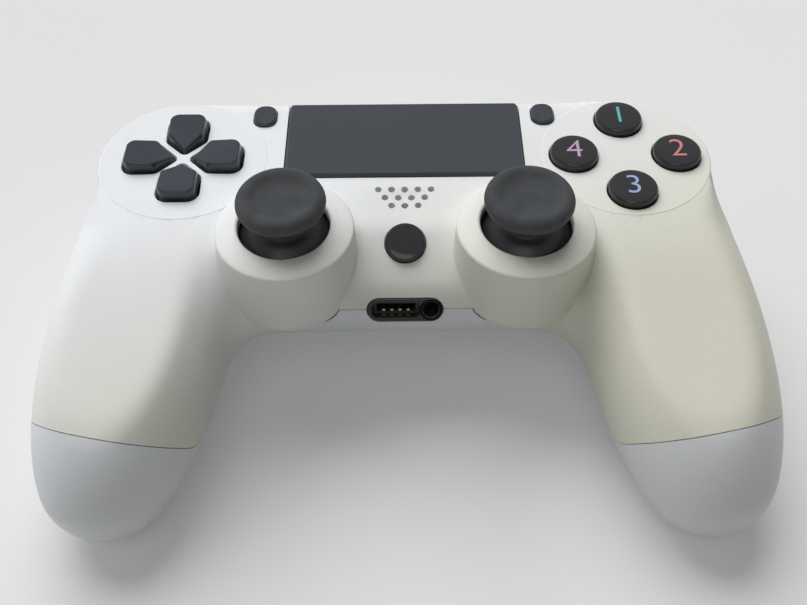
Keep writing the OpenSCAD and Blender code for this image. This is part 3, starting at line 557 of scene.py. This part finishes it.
def key_outline(grow):
    """Outline of the direction key that points along +X: a tight line round small circles."""
    corners = [
        (2.9, 0, 0.9), (6.7, KEY_W / 2 - 1.75, 1.6), (KEY_REACH - 2.5, KEY_W / 2 - 2.5, 2.5),
    ]
    circles = np.array([(x, side * y, r) for x, y, r in corners for side in (-1, 1)])
    angles = np.linspace(0, 2 * math.pi, 144, endpoint=False)
    ways = np.column_stack([np.cos(angles), np.sin(angles)])
    touched = circles[np.argmax(ways @ circles[:, :2].T + circles[:, 2], axis=1)]
    return touched[:, :2] + (touched[:, 2:] + grow) * ways


button_hole_r = BUTTON_R + 0.22
button_hole = [
    (button_hole_r, FACE - 9),
    *arc((button_hole_r + BUTTON_LIP, FACE - BUTTON_LIP), BUTTON_LIP, 180, 105, 6),
    (button_hole_r + BUTTON_LIP * 1.2, FACE + 4),
]
key_hole = [at_height(key_outline(grow), z) for grow, z in KEY_HOLE]
for at_key, at_button in zip(KEY_AT, BUTTON_AT.values()):
    carve(front, "DIFFERENCE", loft("key_hole", moved(key_hole, at_key), shell_ivory))
    carve(front, "DIFFERENCE", lathe("button_hole", button_hole, shell_ivory, at_button))
    pocket = rod("pocket", BUTTON_R + 1.6, FACE - 6, FACE - 2.4, shell_ivory, at_button)
    limit = rod("limit", CLUSTER_R + 0.5, FACE - 9, FACE, shell_ivory, DISC_AT["right"])
    carve(front, "DIFFERENCE", carve(pocket, "INTERSECT", limit))
plate_room = rod(
    "plate_room", KEY_REACH + 0.3, FACE - 9, FACE - 2.9, shell_ivory, DISC_AT["left"])
carve(front, "DIFFERENCE", plate_room)
touch_room = pill(TOUCH_W + 2 * TOUCH_GAP, 100 - TOUCH_Y0, 1.3)
touch_room = touch_room + (0, (100 + TOUCH_Y0) / 2 - TOUCH_GAP)
touch_room = prism("touch_room", touch_room, FACE - PLATE - 0.3, FACE + 8, shell_ivory)
carve(front, "DIFFERENCE", touch_room)
menu_room = inset(MENU_SHAPE, -MENU_GAP)
foot_room = pill(7.9, 4.1, 1.9) - (0, 0.8)
stick_hole = [
    (STICK_HOLE_R, FACE - 6),
    *arc((STICK_HOLE_R + 0.7, FACE + 3.8), 0.7, 180, 95, 8),
    (STICK_HOLE_R + 0.8, FACE + 9),
]
stick_socket = arc((0, STICK_PIVOT), SOCKET_R, -26, 89, 24)
for word in SIDES:
    carve(
        front, "DIFFERENCE",
        prism("menu_room", menu_room, FACE - 9, FACE + 8, shell_ivory, MENU_AT[word]),
        prism("foot_room", foot_room, FACE - 6, FACE - 3, shell_ivory, MENU_AT[word]),
    )
    carve(front, "DIFFERENCE", lathe("stick_hole", stick_hole, shell_ivory, STICK_AT[word], 120))
    carve(front, "DIFFERENCE", lathe("socket", stick_socket, shell_ivory, STICK_AT[word], 80))
    carve(rear, "DIFFERENCE", lathe("rim_room", rim(SEAM * 1.5), shell_grey, STICK_AT[word], 120))
carve(front, "DIFFERENCE", rod("home_hole", HOME_R + 0.2, -8, 8, shell_ivory, HOME_AT))
for half in (front, rear):
    carve(half, "DIFFERENCE", prism("port_room", pill(17, 5.7), -9, 8, shell_grey, PORT_AT))


# Speaker holes: a small wedge of round holes between the touch surface and the home button.
# Pins in the mould leave them, so each has a straight wall; the loudspeaker sits close behind.
def sized_tree(name, *sizes):
    """A new geometry tree and one wire for each of its sizes, which are plain numbers."""
    tree = bpy.data.node_groups.new(name, "GeometryNodeTree")
    for size in sizes:
        tree.interface.new_socket(size, in_out="INPUT", socket_type="NodeSocketFloat")
    tree.interface.new_socket("Geometry", in_out="OUTPUT", socket_type="NodeSocketGeometry")
    given = tree.nodes.new("NodeGroupInput").outputs
    return tree, [Wire(tree, given[size]) for size in sizes]


def row_of(count, gap, y=0.0):
    """A centred row of points along X, the gap apart."""
    start = gap.node("ShaderNodeCombineXYZ", {}, {"X": gap * (-(count - 1) / 2), "Y": y})
    step = gap.node("ShaderNodeCombineXYZ", {}, {"X": gap})
    line = {"Count": count, "Start Location": start, "Offset": step}
    return gap.node("GeometryNodeMeshLine", {"mode": "OFFSET"}, line)


def hand_out(points, shape, material):
    """Ends a tree: the shape on every point, made real and given its material."""
    put = shape.node("GeometryNodeInstanceOnPoints", {}, {"Points": points, "Instance": shape})
    real = put.node("GeometryNodeRealizeInstances", {}, {0: put})
    dressing = {"Geometry": real, "Material": material}
    dressed = real.node("GeometryNodeSetMaterial", {}, dressing)
    dressed.into(dressed.tree.nodes.new("NodeGroupOutput"), 0)


def repeat(name, tree, sizes):
    """The plain mesh that a node tree makes with the given sizes."""
    piece = make(name, [(0, 0, 0)], [], shell_ivory)
    maker = piece.modifiers.new("repeat", "NODES")
    maker.node_group = tree
    for socket in tree.interface.items_tree:
        if socket.in_out == "INPUT":
            maker[socket.identifier] = sizes[socket.name]
    return settle(piece)


SPEAKER_ROWS = (5, 4, 3)
SPEAKER_SIZES = {"Pitch": 0.00298, "Row Pitch": 0.00222, "Hole Radius": 0.00078}
hole_tree, (pitch, row_pitch, hole_r) = sized_tree("speaker_holes", *SPEAKER_SIZES)
rows = [row_of(count, pitch, row_pitch * -row) for row, count in enumerate(SPEAKER_ROWS)]
points = pitch.node("GeometryNodeJoinGeometry", {}, {0: rows})
pin = {"Vertices": 24, "Radius": hole_r, "Depth": 0.012}
hand_out(points, pitch.node("GeometryNodeMeshCylinder", {}, pin), shell_ivory)
drills = repeat("drills", hole_tree, SPEAKER_SIZES)
drills.data.transform(Matrix.Translation((0, 0.0188, FACE / 1000)))
carve(front, "DIFFERENCE", drills)

# Back edge and underside: rooms for the bumpers and triggers, a slot for the light bar, a mouth for
# the charging plug, and four deep wells that the housing screws sit in, each inside a round post.
BUMPER_X, BUMPER_Z = (38.8, 64.8), (FACE - 11.8, FACE - 5.6)
BUMPER_R = (16.9, 20.8)
BUMPER_GAP = 0.4
TRIGGER_AT, TRIGGER_W = (50.8, 45.5, FACE - 16.3), 22.0
TRIGGER_GAP = 0.8
PAST_BACK = 70
LIGHT_AT = (
    Matrix.Translation((0, BACK_Y, FACE))
    @ Matrix.Rotation(math.radians(BACK_LEAN + 90), 4, "X"))
LIGHT_SHAPE = rounded([(-22.1, -9.6), (22.1, -9.6), (29.0, -3.0), (-29.0, -3.0)], 1.2)
PLUG_Z = FACE - 16.8
PLUG_AT = Matrix.Translation((0, 40, PLUG_Z)) @ Matrix.Rotation(math.radians(-90), 4, "X")
SCREWS = [(35.2, 20.2, FACE - 29.6), (60.2, -32.8, 3.2)]


def block(name, low, high, mirror):
    """A plain box between two corners, for cutting with."""
    outline = [(low[0], low[1]), (high[0], low[1]), (high[0], high[1]), (low[0], high[1])]
    return prism(name, outline, low[2], high[2], shell_grey, mirror=mirror)


for half in (front, rear):
    for mirror, word in ((False, "right"), (True, "left")):
        low = (BUMPER_X[0] - BUMPER_GAP, 37.4, BUMPER_Z[0] - BUMPER_GAP)
        high = (BUMPER_X[1] + BUMPER_GAP, PAST_BACK, BUMPER_Z[1] + BUMPER_GAP)
        room = block("room", low, high, mirror)
        core = rod("core", BUMPER_R[0] - 1.8, 0, 60, shell_grey, DISC_AT[word])
        carve(room, "DIFFERENCE", core)
        half_width = TRIGGER_W / 2 + TRIGGER_GAP
        low = (TRIGGER_AT[0] - half_width, 40.2, -2)
        high = (TRIGGER_AT[0] + half_width, PAST_BACK, FACE - 13.4)
        carve(half, "DIFFERENCE", room, block("mouth", low, high, mirror))
carve(front, "DIFFERENCE", prism("light_slot", LIGHT_SHAPE, -6, 10, shell_ivory, LIGHT_AT))
carve(rear, "DIFFERENCE", prism("plug_mouth", pill(8.4, 3.7, 1), 0, 20, shell_grey, PLUG_AT))
well = [(2.7, -8), (2.7, 5), (1.5, 5), (1.5, 20)]
for side in SIDES.values():
    for x, y, z in SCREWS:
        at_screw = Matrix.Translation((side * x, y, z))
        carve(rear, "UNION", rod("post", 3.8, 1, 8.8, shell_grey, at_screw, 48))
        carve(rear, "DIFFERENCE", lathe("well", well, shell_grey, at_screw, 48))

stands_for(smooth(front), "front_shell", "housing")
stands_for(smooth(rear), "rear_shell", "housing")


# Touch surface: one slab of dark plastic with a matt, finely dotted top, hinged under its back
# edge. It stands a little proud of the face, and its front edge goes down when it is clicked.
def layered(name, outline, steps, material, place=Matrix()):
    """A solid whose section is the outline drawn in by each step's depth at each step's height."""
    loops = [at_height(inset(outline, depth), z) for depth, z in steps]
    return loft(name, moved(loops, place), material)


def clouded(shader, cloud, dark, light, rough, drift):
    """Lets one pattern move the colour from dark to light and the roughness up from rough."""
    cloud.colour(dark, light).into(shader, "Base Color")
    (cloud * drift + rough).into(shader, "Roughness")


DOT = 0.45
touch_slate, shader, place = surface("touch_slate")
cloud = place.noise(14, 3)
clouded(shader, cloud, (0.040, 0.046, 0.056, 1), (0.050, 0.057, 0.068, 1), 0.42, 0.12)
dotting = {"Vector": place, "Scale": 1000 / DOT, "Randomness": 0.15}
dots = place.node("ShaderNodeTexVoronoi", {}, dotting)
grain(shader, dots.ramp(0.1, 0.4), 0.25, 0.02)
pad_outline = pill(TOUCH_W, TOUCH_Y1 - TOUCH_Y0, 1.1) + (0, (TOUCH_Y0 + TOUCH_Y1) / 2)
touch_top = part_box("touchpad")[1][2] * 1000
pad_steps = [
    (0, FACE - 2.4), (0, FACE), (0.4, touch_top - 0.12), (0.5, touch_top - 0.03),
    (0.62, touch_top),
]
touchpad = layered("touch_surface", pad_outline, pad_steps, touch_slate)
ledge_outline = pill(TOUCH_W + 2, 22, 1.5) + (0, 33.8)
ledge = layered("ledge", ledge_outline, [(0, FACE - 4.2), (0, FACE - 3.0)], touch_slate)
neck = layered("neck", inset(pad_outline, 1.3), [(0, FACE - 3.2), (0, FACE - 2)], touch_slate)
carve(touchpad, "UNION", ledge, neck)
stands_for(smooth(touchpad), "touchpad", "touchpad")


# Direction pad: four glossy keys on one hidden disc that rocks on a ball. Each key is a blunt
# pentagon with a flat top and rounded edges, and its tip slopes down towards the middle.
def polished(name, dark, light, gloss):
    """Glossy plastic with faint smears from handling and a few fine scratches."""
    material, shader, place = surface(name)
    smear = place.noise(7, 4)
    smear.colour(dark, light).into(shader, "Base Color")
    (smear.ramp(0.45, 0.75) * 0.14 + gloss).into(shader, "Roughness")
    stretched = place.node("ShaderNodeMapping", {}, {"Vector": place, "Scale": (1, 0.08, 1)})
    grain(shader, stretched.noise(0.5, 1), 0.06, 0.01)
    return material


# Depth drawn in and height of each step of a key
KEY_STEPS = [
    (0.2, FACE - 4.8), (0.2, FACE), (0.38, FACE + 2.1), (0.44, FACE + 2.26), (0.54, FACE + 2.39),
    (0.68, FACE + 2.47), (0.84, FACE + 2.5),
]
TIP_FALL, TIP_START, TIP_LENGTH = 1.7, 7.4, 4.8
slate_gloss = polished("slate_gloss", (0.034, 0.041, 0.054, 1), (0.042, 0.050, 0.064, 1), 0.13)
hub = [(3.6, FACE - 7.6), (3.6, FACE - 5.8), (12.9, FACE - 5.8), (12.9, FACE - 4.5)]
dpad = lathe("direction_pad", hub, slate_gloss, DISC_AT["left"])
key = np.array([at_height(key_outline(-depth), z) for depth, z in KEY_STEPS])
fall = np.clip((TIP_START - key[1:, :, 0]) / TIP_LENGTH, 0, 1)
key[1:, :, 2] -= TIP_FALL * fall ** 1.5
for at_key in KEY_AT:
    carve(dpad, "UNION", loft("key", moved(key, at_key), slate_gloss))
ball = [(1.9, FACE - 9), *arc((0, FACE - 6.4), 2.3, -34, 88, 12)]
carve(dpad, "DIFFERENCE", lathe("ball_seat", ball, slate_gloss, DISC_AT["left"], 48))
stands_for(smooth(dpad, 40), "dpad", "dpad")

# Round buttons: four black keys of polished plastic with a soft rim. Each carries a plain numeral,
# inlaid in its own colour under the gloss.
BUTTON_TOP, BUTTON_CROWN = FACE + 1.8, 0.14
NUMERAL_SIZE = 8.2
BLACK = (0.018, 0.019, 0.022, 1), (0.026, 0.028, 0.033, 1)
black_gloss = polished("black_gloss", *BLACK, 0.10)
# From the stem that meets the dome under it up to its crown
button_section = [
    (2.4, FACE - 6.3), (2.4, FACE - 3.4), (BUTTON_R, FACE - 3.4),
    *arc((BUTTON_R - 0.8, BUTTON_TOP - 0.8), 0.8, 0, 84, 9),
    (BUTTON_R * 0.55, BUTTON_TOP + BUTTON_CROWN * 0.7),
    (0.3, BUTTON_TOP + BUTTON_CROWN),
]


def inlaid(name, colour):
    """Coloured ink, a little uneven, under a clear gloss."""
    material, shader, place = surface(name)
    dim = tuple(0.8 * channel for channel in colour) + (1,)
    place.noise(1.5, 2).colour(dim, colour + (1,)).into(shader, "Base Color")
    shader.inputs["Roughness"].default_value = 0.18
    return material


def numeral(name, figure, size, colour, place):
    """A plain figure, centred, as a thin flat mesh at height 0 of its place."""
    letters = bpy.data.curves.new(name, "FONT")
    letters.body = figure
    letters.size = size
    letters.align_x = "CENTER"
    letters.align_y = "CENTER"
    letters.extrude = 0.02
    letters.offset = -0.07
    draft = bpy.data.objects.new("draft", letters)
    scene.collection.objects.link(draft)
    graph = bpy.context.evaluated_depsgraph_get()
    mesh = bpy.data.meshes.new_from_object(draft.evaluated_get(graph), depsgraph=graph)
    bpy.data.objects.remove(draft)
    mesh.name = name
    mesh.transform(Matrix.Scale(0.001, 4) @ place)
    mesh.materials.clear()
    mesh.materials.append(inlaid(name + "_ink", colour))
    piece = bpy.data.objects.new(name, mesh)
    scene.collection.objects.link(piece)
    return piece


for node, angle, figure, colour in (
    ("button_top", 90, "1", (0.12, 0.52, 0.50)),
    ("button_right", 0, "2", (0.66, 0.26, 0.23)),
    ("button_bottom", 270, "3", (0.37, 0.44, 0.72)),
    ("button_left", 180, "4", (0.55, 0.36, 0.58)),
):
    at_button = BUTTON_AT[angle]
    key = lathe(node + "_key", button_section, black_gloss, at_button)
    flange = rod("flange", 6.7, FACE - 3.7, FACE - 2.7, black_gloss, at_button)
    limit = rod("limit", CLUSTER_R, FACE - 6, FACE, black_gloss, DISC_AT["right"])
    carve(key, "UNION", carve(flange, "INTERSECT", limit))
    stands_for(smooth(key, 40), node, node)
    middle = at_button.to_translation()
    flat = Matrix.Translation((middle.x, middle.y, BUTTON_TOP + 0.15))
    mark = numeral(node + "_numeral", figure, NUMERAL_SIZE, colour, flat)
    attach(mark, node)


# Small keys: two rounded menu keys of satin black plastic beside the touch surface, and the
# polished round home key between the sticks. Each is pushed straight in against a dome under it.
def soft_edge(top, radius, steps=6):
    """Steps of a rounded top edge."""
    return [(radius - r, z) for r, z in arc((0, top - radius), radius, 0, 90, steps)]


black_satin = polished("black_satin", (0.034, 0.040, 0.050, 1), (0.044, 0.050, 0.061, 1), 0.24)
menu_steps = [(0, FACE - 3.4), *soft_edge(FACE + 0.9, 0.6)]
menu_foot, foot_steps = pill(7.1, 3.3, 1.5) - (0, 0.8), [(0, FACE - 4.4), (0, FACE - 3.3)]
for word in SIDES:
    node = word + "_menu_button"
    key = layered(node + "_key", MENU_SHAPE, menu_steps, black_satin, MENU_AT[word])
    flange = layered("flange", menu_foot, foot_steps, black_satin, MENU_AT[word])
    stands_for(smooth(carve(key, "UNION", flange), 40), node, node)
home_section = [
    (5.4, -4.4), (5.4, -3.4), (HOME_R, -3.4), *arc((HOME_R - 0.7, 0.25), 0.7, 0, 80, 8),
    (1.5, 0.85), (0.3, 0.8),
]
home_key = lathe("home_key", home_section, black_gloss, HOME_AT)
stands_for(smooth(home_key, 40), "home_button", "home_button")

# Thumbsticks: a smooth black core, whose dome fills the hole in the rim as it tilts, and a rubber
# cap pressed over its top. The cap has a soft rim round a dish for the thumb.
DOME_R = 13.2
NECK_R, SEAT_R = 4.8, 7.4
CAP_R, CAP_Z = 9.5, FACE + 11.9
PEBBLE = 0.6
cap_rubber, shader, place = surface("cap_rubber")
scuff = place.noise(3.5, 4)
dusting = scuff.ramp(0.3, 0.75).colour((0.040, 0.044, 0.048, 1), (0.057, 0.061, 0.066, 1))
dusting.into(shader, "Base Color")
(scuff * 0.2 + 0.58).into(shader, "Roughness")
pebbles = place.node("ShaderNodeTexVoronoi", {}, {"Vector": place, "Scale": 1000 / PEBBLE})
grain(shader, pebbles.ramp(0.0, 0.5) + place.noise(0.25, 2) * 0.6, 0.4, 0.03)
dome_black = polished("dome_black", *BLACK, 0.34)
core_section = [
    (1.15, STICK_PIVOT - 1.2), (1.15, STICK_PIVOT + DOME_R - 1.1),
    *arc((0, STICK_PIVOT), DOME_R - 1, 80, 20, 20),
    *arc((0, STICK_PIVOT), DOME_R, 20, 62, 20),
    (5.5, STICK_PIVOT + 12.0), (5.0, STICK_PIVOT + 12.45), (NECK_R, STICK_PIVOT + 13.1),
    (NECK_R, CAP_Z - 3.2), (SEAT_R, CAP_Z - 2.2), (SEAT_R, CAP_Z - 0.6),
]
cap_section = [
    (NECK_R, CAP_Z - 4), (5.4, CAP_Z - 3.95), (6.0, CAP_Z - 3.7), (8.0, CAP_Z - 2.9),
    (8.7, CAP_Z - 2.3),
    *arc((CAP_R - 1.9, CAP_Z - 0.9), 1.9, -35, 95, 20),
    (6.9, CAP_Z + 0.9), (6.4, CAP_Z + 0.7), (5.9, CAP_Z + 0.46), (5.3, CAP_Z + 0.24),
    (4.4, CAP_Z + 0.08), (3, CAP_Z), (0, CAP_Z),
    (0, CAP_Z - 0.6), (SEAT_R, CAP_Z - 0.6), (SEAT_R, CAP_Z - 2.2), (NECK_R, CAP_Z - 3.2),
]
for word in SIDES:
    node, at_stick = word + "_stick", STICK_AT[word]
    core = smooth(lathe(node + "_core", core_section, dome_black, at_stick), 40)
    cap = smooth(lathe(node + "_rubber", cap_section, cap_rubber, at_stick, 128, ring=True), 40)
    stands_for(core, node, node)
    stands_for(cap, node + "_cap", node)


# Bumpers: curved bars of black satin plastic let into the back edge, one above each trigger.
# They run straight beside the light bar and then bend round the shoulder.
def bumper_loop(depth, z):
    """The bar from above, drawn in by depth: along the inside, then back along the outside."""
    inner, outer = BUMPER_R[0] + depth, BUMPER_R[1] - depth
    start, stop = BUMPER_X[0] + depth, BUMPER_X[1] - depth

    def bend(radius):
        last = math.degrees(math.acos((stop - DISC_X) / radius))
        return arc((DISC_X, DISC_Y), radius, 90, last, 24)

    inside = [(x, DISC_Y + inner) for x in np.linspace(start, DISC_X, 10, endpoint=False)]
    outside = [(x, DISC_Y + outer) for x in np.linspace(DISC_X, start, 11)[1:]]
    return [(x, y, z) for x, y in inside + bend(inner) + bend(outer)[::-1] + outside]


bottom, top = BUMPER_Z
steps = [(0.6, bottom), (0.18, bottom + 0.18), (0, bottom + 0.6), *soft_edge(top, 1.7, 8)]
for word, side in SIDES.items():
    node = word + "_bumper"
    bar = loft(node + "_bar", [bumper_loop(*step) for step in steps], black_satin, side < 0)
    stands_for(smooth(bar, 40), node, node)

# Triggers: hollow curved levers of the same plastic that swing on a pin between two ears. The outer
# face bulges for the finger and flares at its lower lip; a cheek on each side has the pin's hole.
TRIGGER_TOP = FACE - 13.9
TRIGGER_X0 = TRIGGER_AT[0] - TRIGGER_W / 2
TRIGGER_WALL, TRIGGER_EDGE = 2.4, 1.3
CHEEK, CHEEK_INSET = 2.2, 0.35
EAR_R, BORE_R = 2.7, 1.25


def blade(depth):
    """Outer line of the trigger's section, top to bottom, drawn in by depth."""
    t = np.linspace(0, 1, 36)
    y = 52 - depth - 9 * (t - 0.3) ** 2 + 32 * np.maximum(0, t - 0.62) ** 2
    z = np.clip(TRIGGER_TOP * (1 - t), depth * 0.8, TRIGGER_TOP - depth * 0.8)
    return np.column_stack([y, z])


def trigger_loop(depth, x):
    """The section of the trigger's wall at x: up the outer line, then down the inner one."""
    outline = np.concatenate([blade(depth)[::-1], blade(TRIGGER_WALL)])
    return np.column_stack([np.full(len(outline), x), outline])


flank = np.array([
    *blade(1.2)[::-1].tolist(), (45.5, TRIGGER_TOP - 1),
    (43.0, TRIGGER_AT[2]), (43.2, FACE - 21), (45.4, FACE - 29), (47.4, 1.2),
])
ear_outline, bore_outline = (
    np.array(arc(TRIGGER_AT[1:], radius, 0, 350, 35)) for radius in (EAR_R, BORE_R))
stations = [
    (TRIGGER_EDGE - r, TRIGGER_X0 + TRIGGER_EDGE - x)
    for r, x in arc((0, 0), TRIGGER_EDGE, 0, 90, 6)[::-1]
]
stations += [(depth, 2 * TRIGGER_AT[0] - x) for depth, x in stations[::-1]]
for word, side in SIDES.items():
    node, mirror = word + "_trigger", side < 0
    loops = [trigger_loop(*station) for station in stations]
    lever = loft(node + "_lever", loops, black_satin, mirror)
    for x in (TRIGGER_X0 + CHEEK_INSET, TRIGGER_X0 + TRIGGER_W - CHEEK - CHEEK_INSET):
        cheek = prism("cheek", flank, x, x + CHEEK, black_satin, ALONG_X, mirror)
        ear = prism("ear", ear_outline, x, x + CHEEK, black_satin, ALONG_X, mirror)
        bore = prism("bore", bore_outline, x - 1, x + CHEEK + 1, black_satin, ALONG_X, mirror)
        carve(cheek, "UNION", ear)
        carve(cheek, "DIFFERENCE", bore)
        carve(lever, "UNION", cheek)
    stands_for(smooth(lever, 40), node, node)

# Light bar: a frosted acrylic strip that fills the slot in the back edge and spreads the light of
# the lamps behind it. It is glued in almost flush with the housing.
frosted, shader, place = surface("frosted_acrylic")
haze = place.noise(5, 2)
clouded(shader, haze, (0.80, 0.84, 0.88, 1), (0.88, 0.91, 0.94, 1), 0.22, 0.1)
shader.inputs["Subsurface Weight"].default_value = 0.4
shader.inputs["Subsurface Radius"].default_value = (0.002, 0.002, 0.002)
strip_steps = [(0.25, -0.1), (0, 0.15), (0, 1.1)]
strip = layered("light_strip", inset(LIGHT_SHAPE, 0.15), strip_steps, frosted, LIGHT_AT)
stands_for(smooth(strip), "light_bar", "housing")

# Front ports: a glossy black plate set into the front edge, with a slot over a connector that has
# gold contacts, and a round mouth for a headset plug with a black socket behind it.
JACK_AT = PORT_AT @ Matrix.Translation((5.7, 0, 0))
plate_steps = [(0, -2), *soft_edge(-0.15, 0.35)]
plate = layered("port_frame", pill(16.8, 5.5), plate_steps, black_gloss, PORT_AT)
slot_shape = pill(10, 2.8, 0.8) - (2, 0)
slot_steps = [(0, -3), (0, -0.9), (-0.15, -0.5), (-0.45, 0.2)]
carve(plate, "DIFFERENCE", layered("slot", slot_shape, slot_steps, black_gloss, PORT_AT))
mouth = [(2.15, -3), (2.15, -0.8), (2.35, -0.4), (2.7, 0.2)]
carve(plate, "DIFFERENCE", lathe("mouth", mouth, black_gloss, JACK_AT))
stands_for(smooth(plate), "port_plate", "housing")

jack_section = [
    (2.4, -12.5), (2.4, -2.1), (2.1, -2.1), (2.1, -0.5), (1.95, -0.35), (1.8, -0.5),
    (1.8, -11.5), (0, -11.5), (0, -12.5),
]
jack = lathe("headset_jack", jack_section, black_satin, JACK_AT, 64, ring=True)
stands_for(smooth(jack, 40), "headset_socket", "housing")

CONTACT_SIZES = {"Gap": 0.0018, "Width": 0.0008, "Length": 0.0046}
gold, shader, place = surface("gold_plate")
wear = place.noise(0.8, 3)
clouded(shader, wear, (0.80, 0.58, 0.22, 1), (0.90, 0.70, 0.34, 1), 0.16, 0.2)
shader.inputs["Metallic"].default_value = 1
contact_tree, (gap, width, length) = sized_tree("contacts", *CONTACT_SIZES)
size = gap.node("ShaderNodeCombineXYZ", {}, {"X": width, "Y": width * 0.6, "Z": length})
hand_out(row_of(4, gap), gap.node("GeometryNodeMeshCube", {}, {"Size": size}), gold)
contacts = repeat("gold_contacts", contact_tree, CONTACT_SIZES)
at_slot = PORT_AT @ Matrix.Translation((-2, -0.65, -4.6))
contacts.data.transform(Matrix.Scale(0.001, 4) @ at_slot @ Matrix.Scale(1000, 4))
contacts.modifiers.new("edges", "BEVEL").width = 0.0001
stands_for(smooth(settle(contacts)), "expansion_contacts", "housing")

# Charging socket: a folded steel shell with a tongue inside, on a small board behind the back edge.
# The tongue carries the contacts, and the shell ends just inside the opening in the rear half.
steel, shader, place = surface("steel")
drawn = place.node("ShaderNodeMapping", {}, {"Vector": place, "Scale": (0.05, 1, 1)}).noise(0.2, 3)
clouded(shader, drawn, (0.56, 0.57, 0.58, 1), (0.68, 0.69, 0.70, 1), 0.22, 0.2)
shader.inputs["Metallic"].default_value = 1
grain(shader, drawn, 0.1, 0.01)
shell_loops = []
outside, inside = pill(7.6, 2.9, 0.9), pill(6.9, 2.2, 0.6)
for outline, y in ((outside, 44.0), (outside, 49.8), (inside, 49.8), (inside, 44.4)):
    x, z = outline[::-1].T
    shell_loops.append(np.column_stack([x, np.full(len(x), y), z + PLUG_Z]))
socket = loft("charging_shell", shell_loops, steel, ring=True)
tongue_steps = [(0, PLUG_Z - 0.3), *soft_edge(PLUG_Z + 0.3, 0.15)]
carve(socket, "UNION", layered("tongue", pill(4, 4.4, 0.3) + (0, 46.5), tongue_steps, steel))
stands_for(smooth(socket, 40), "charging_socket", "housing")

# Housing screws: four small cross-head screws of plated steel, each at the bottom of its well. They
# pull the rear half against the front half.
SCREW_DEPTH = 3.4
head = [(2.0, 0), *arc((2.0, 0.3), 0.3, -90, 0, 4), (2.3, 1.6), (1.1, 1.6), (1.1, 13.6)]
pattern = lathe("screw", head, steel, segments=40)
for angle in (0, 90):
    bar = prism("bar", pill(2.9, 0.6, 0.1), -1, 1.0, steel, QUARTERS[angle])
    carve(pattern, "DIFFERENCE", bar)
spot_names = [end + axis for end in ("Near ", "Far ") for axis in "XYZ"]
screw_tree, wires = sized_tree("screws", *spot_names)
spots = []
for x, y, z in (wires[:3], wires[3:]):
    for side in SIDES.values():
        spot = x.node("ShaderNodeCombineXYZ", {}, {"X": x * side, "Y": y, "Z": z})
        single = {"Count": 1, "Start Location": spot}
        spots.append(x.node("GeometryNodeMeshLine", {"mode": "OFFSET"}, single))
points = x.node("GeometryNodeJoinGeometry", {}, {0: spots})
shape = x.node("GeometryNodeObjectInfo", {}, {"Object": pattern}, output="Geometry")
hand_out(points, shape, steel)
places = [value / 1000 for x, y, z in SCREWS for value in (x, y, z + SCREW_DEPTH)]
screws = repeat("housing_screws", screw_tree, dict(zip(spot_names, places)))
bpy.data.objects.remove(pattern)
stands_for(smooth(screws), "shell_screws", "housing")

# Return springs of the sticks: a waved washer of spring steel under each carrier, loose on the
# module. It flattens as the stick is pushed in and lifts the carrier again.
WASHER_R, WASHER_Z = (3.1, 3.8), (STICK_PIVOT - 5.18, STICK_PIVOT - 4.58)
SHEET = 0.15
WAVES = 3
inner, outer = WASHER_R
angles = np.linspace(0, 2 * math.pi, 96, endpoint=False)
sway = (WASHER_Z[1] - WASHER_Z[0] - SHEET) / 2
waves = WASHER_Z[0] + sway + sway * np.sin(WAVES * angles)
loops = [
    np.column_stack([r * np.cos(angles), r * np.sin(angles), waves + z])
    for r, z in ((outer, 0), (outer, SHEET), (inner, SHEET), (inner, 0))
]
for word, side in SIDES.items():
    washer = loft(word + "_stick_washer", moved(loops, STICK_AT[word]), steel, ring=True)
    stands_for(smooth(washer, 40), word + "_stick_spring", "housing")
    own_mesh(washer)

# Inner pieces: what shows only through gaps keeps the shape it has in the frame, with the finish of
# its own stuff: green lacquered boards, grey silicone, black nylon, drawn steel and a wrapped cell.
lacquered_board, shader, place = surface("lacquered_board")
bricks = {"Vector": place, "Scale": 300.0, "Mortar Size": 0.03}
tracks = place.node("ShaderNodeTexBrick", {}, bricks, output="Fac")
tracks.colour((0.020, 0.090, 0.050, 1), (0.045, 0.150, 0.080, 1)).into(shader, "Base Color")
shader.inputs["Roughness"].default_value = 0.3
grain(shader, tracks, 0.3, 0.04)

soft_silicone, shader, place = surface("soft_silicone")
bloom = place.noise(2, 3)
clouded(shader, bloom, (0.40, 0.42, 0.44, 1), (0.48, 0.50, 0.52, 1), 0.5, 0.2)

black_nylon, shader, place = surface("black_nylon")
flow = place.noise(4, 3)
clouded(shader, flow, (0.030, 0.031, 0.033, 1), (0.048, 0.049, 0.052, 1), 0.45, 0.2)
grain(shader, place.noise(0.3, 2), 0.3, 0.02)

cell_wrap, shader, place = surface("cell_wrap")
crease = place.noise(6, 4)
clouded(shader, crease, (0.16, 0.18, 0.22, 1), (0.22, 0.24, 0.29, 1), 0.25, 0.2)
grain(shader, crease, 0.3, 0.1)

finishes = {
    "circuit_board": lacquered_board, "silicone": soft_silicone, "black_plastic": black_nylon,
    "battery_wrap": cell_wrap, "steel": steel,
}
for part in frame["record"]["subparts"]:
    inner_piece = frame["nodes"][part["node"]]
    if part["material_slot"] in finishes and not inner_piece.hide_render:
        for slot in inner_piece.material_slots:
            slot.material = finishes[part["material_slot"]]

low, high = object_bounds()
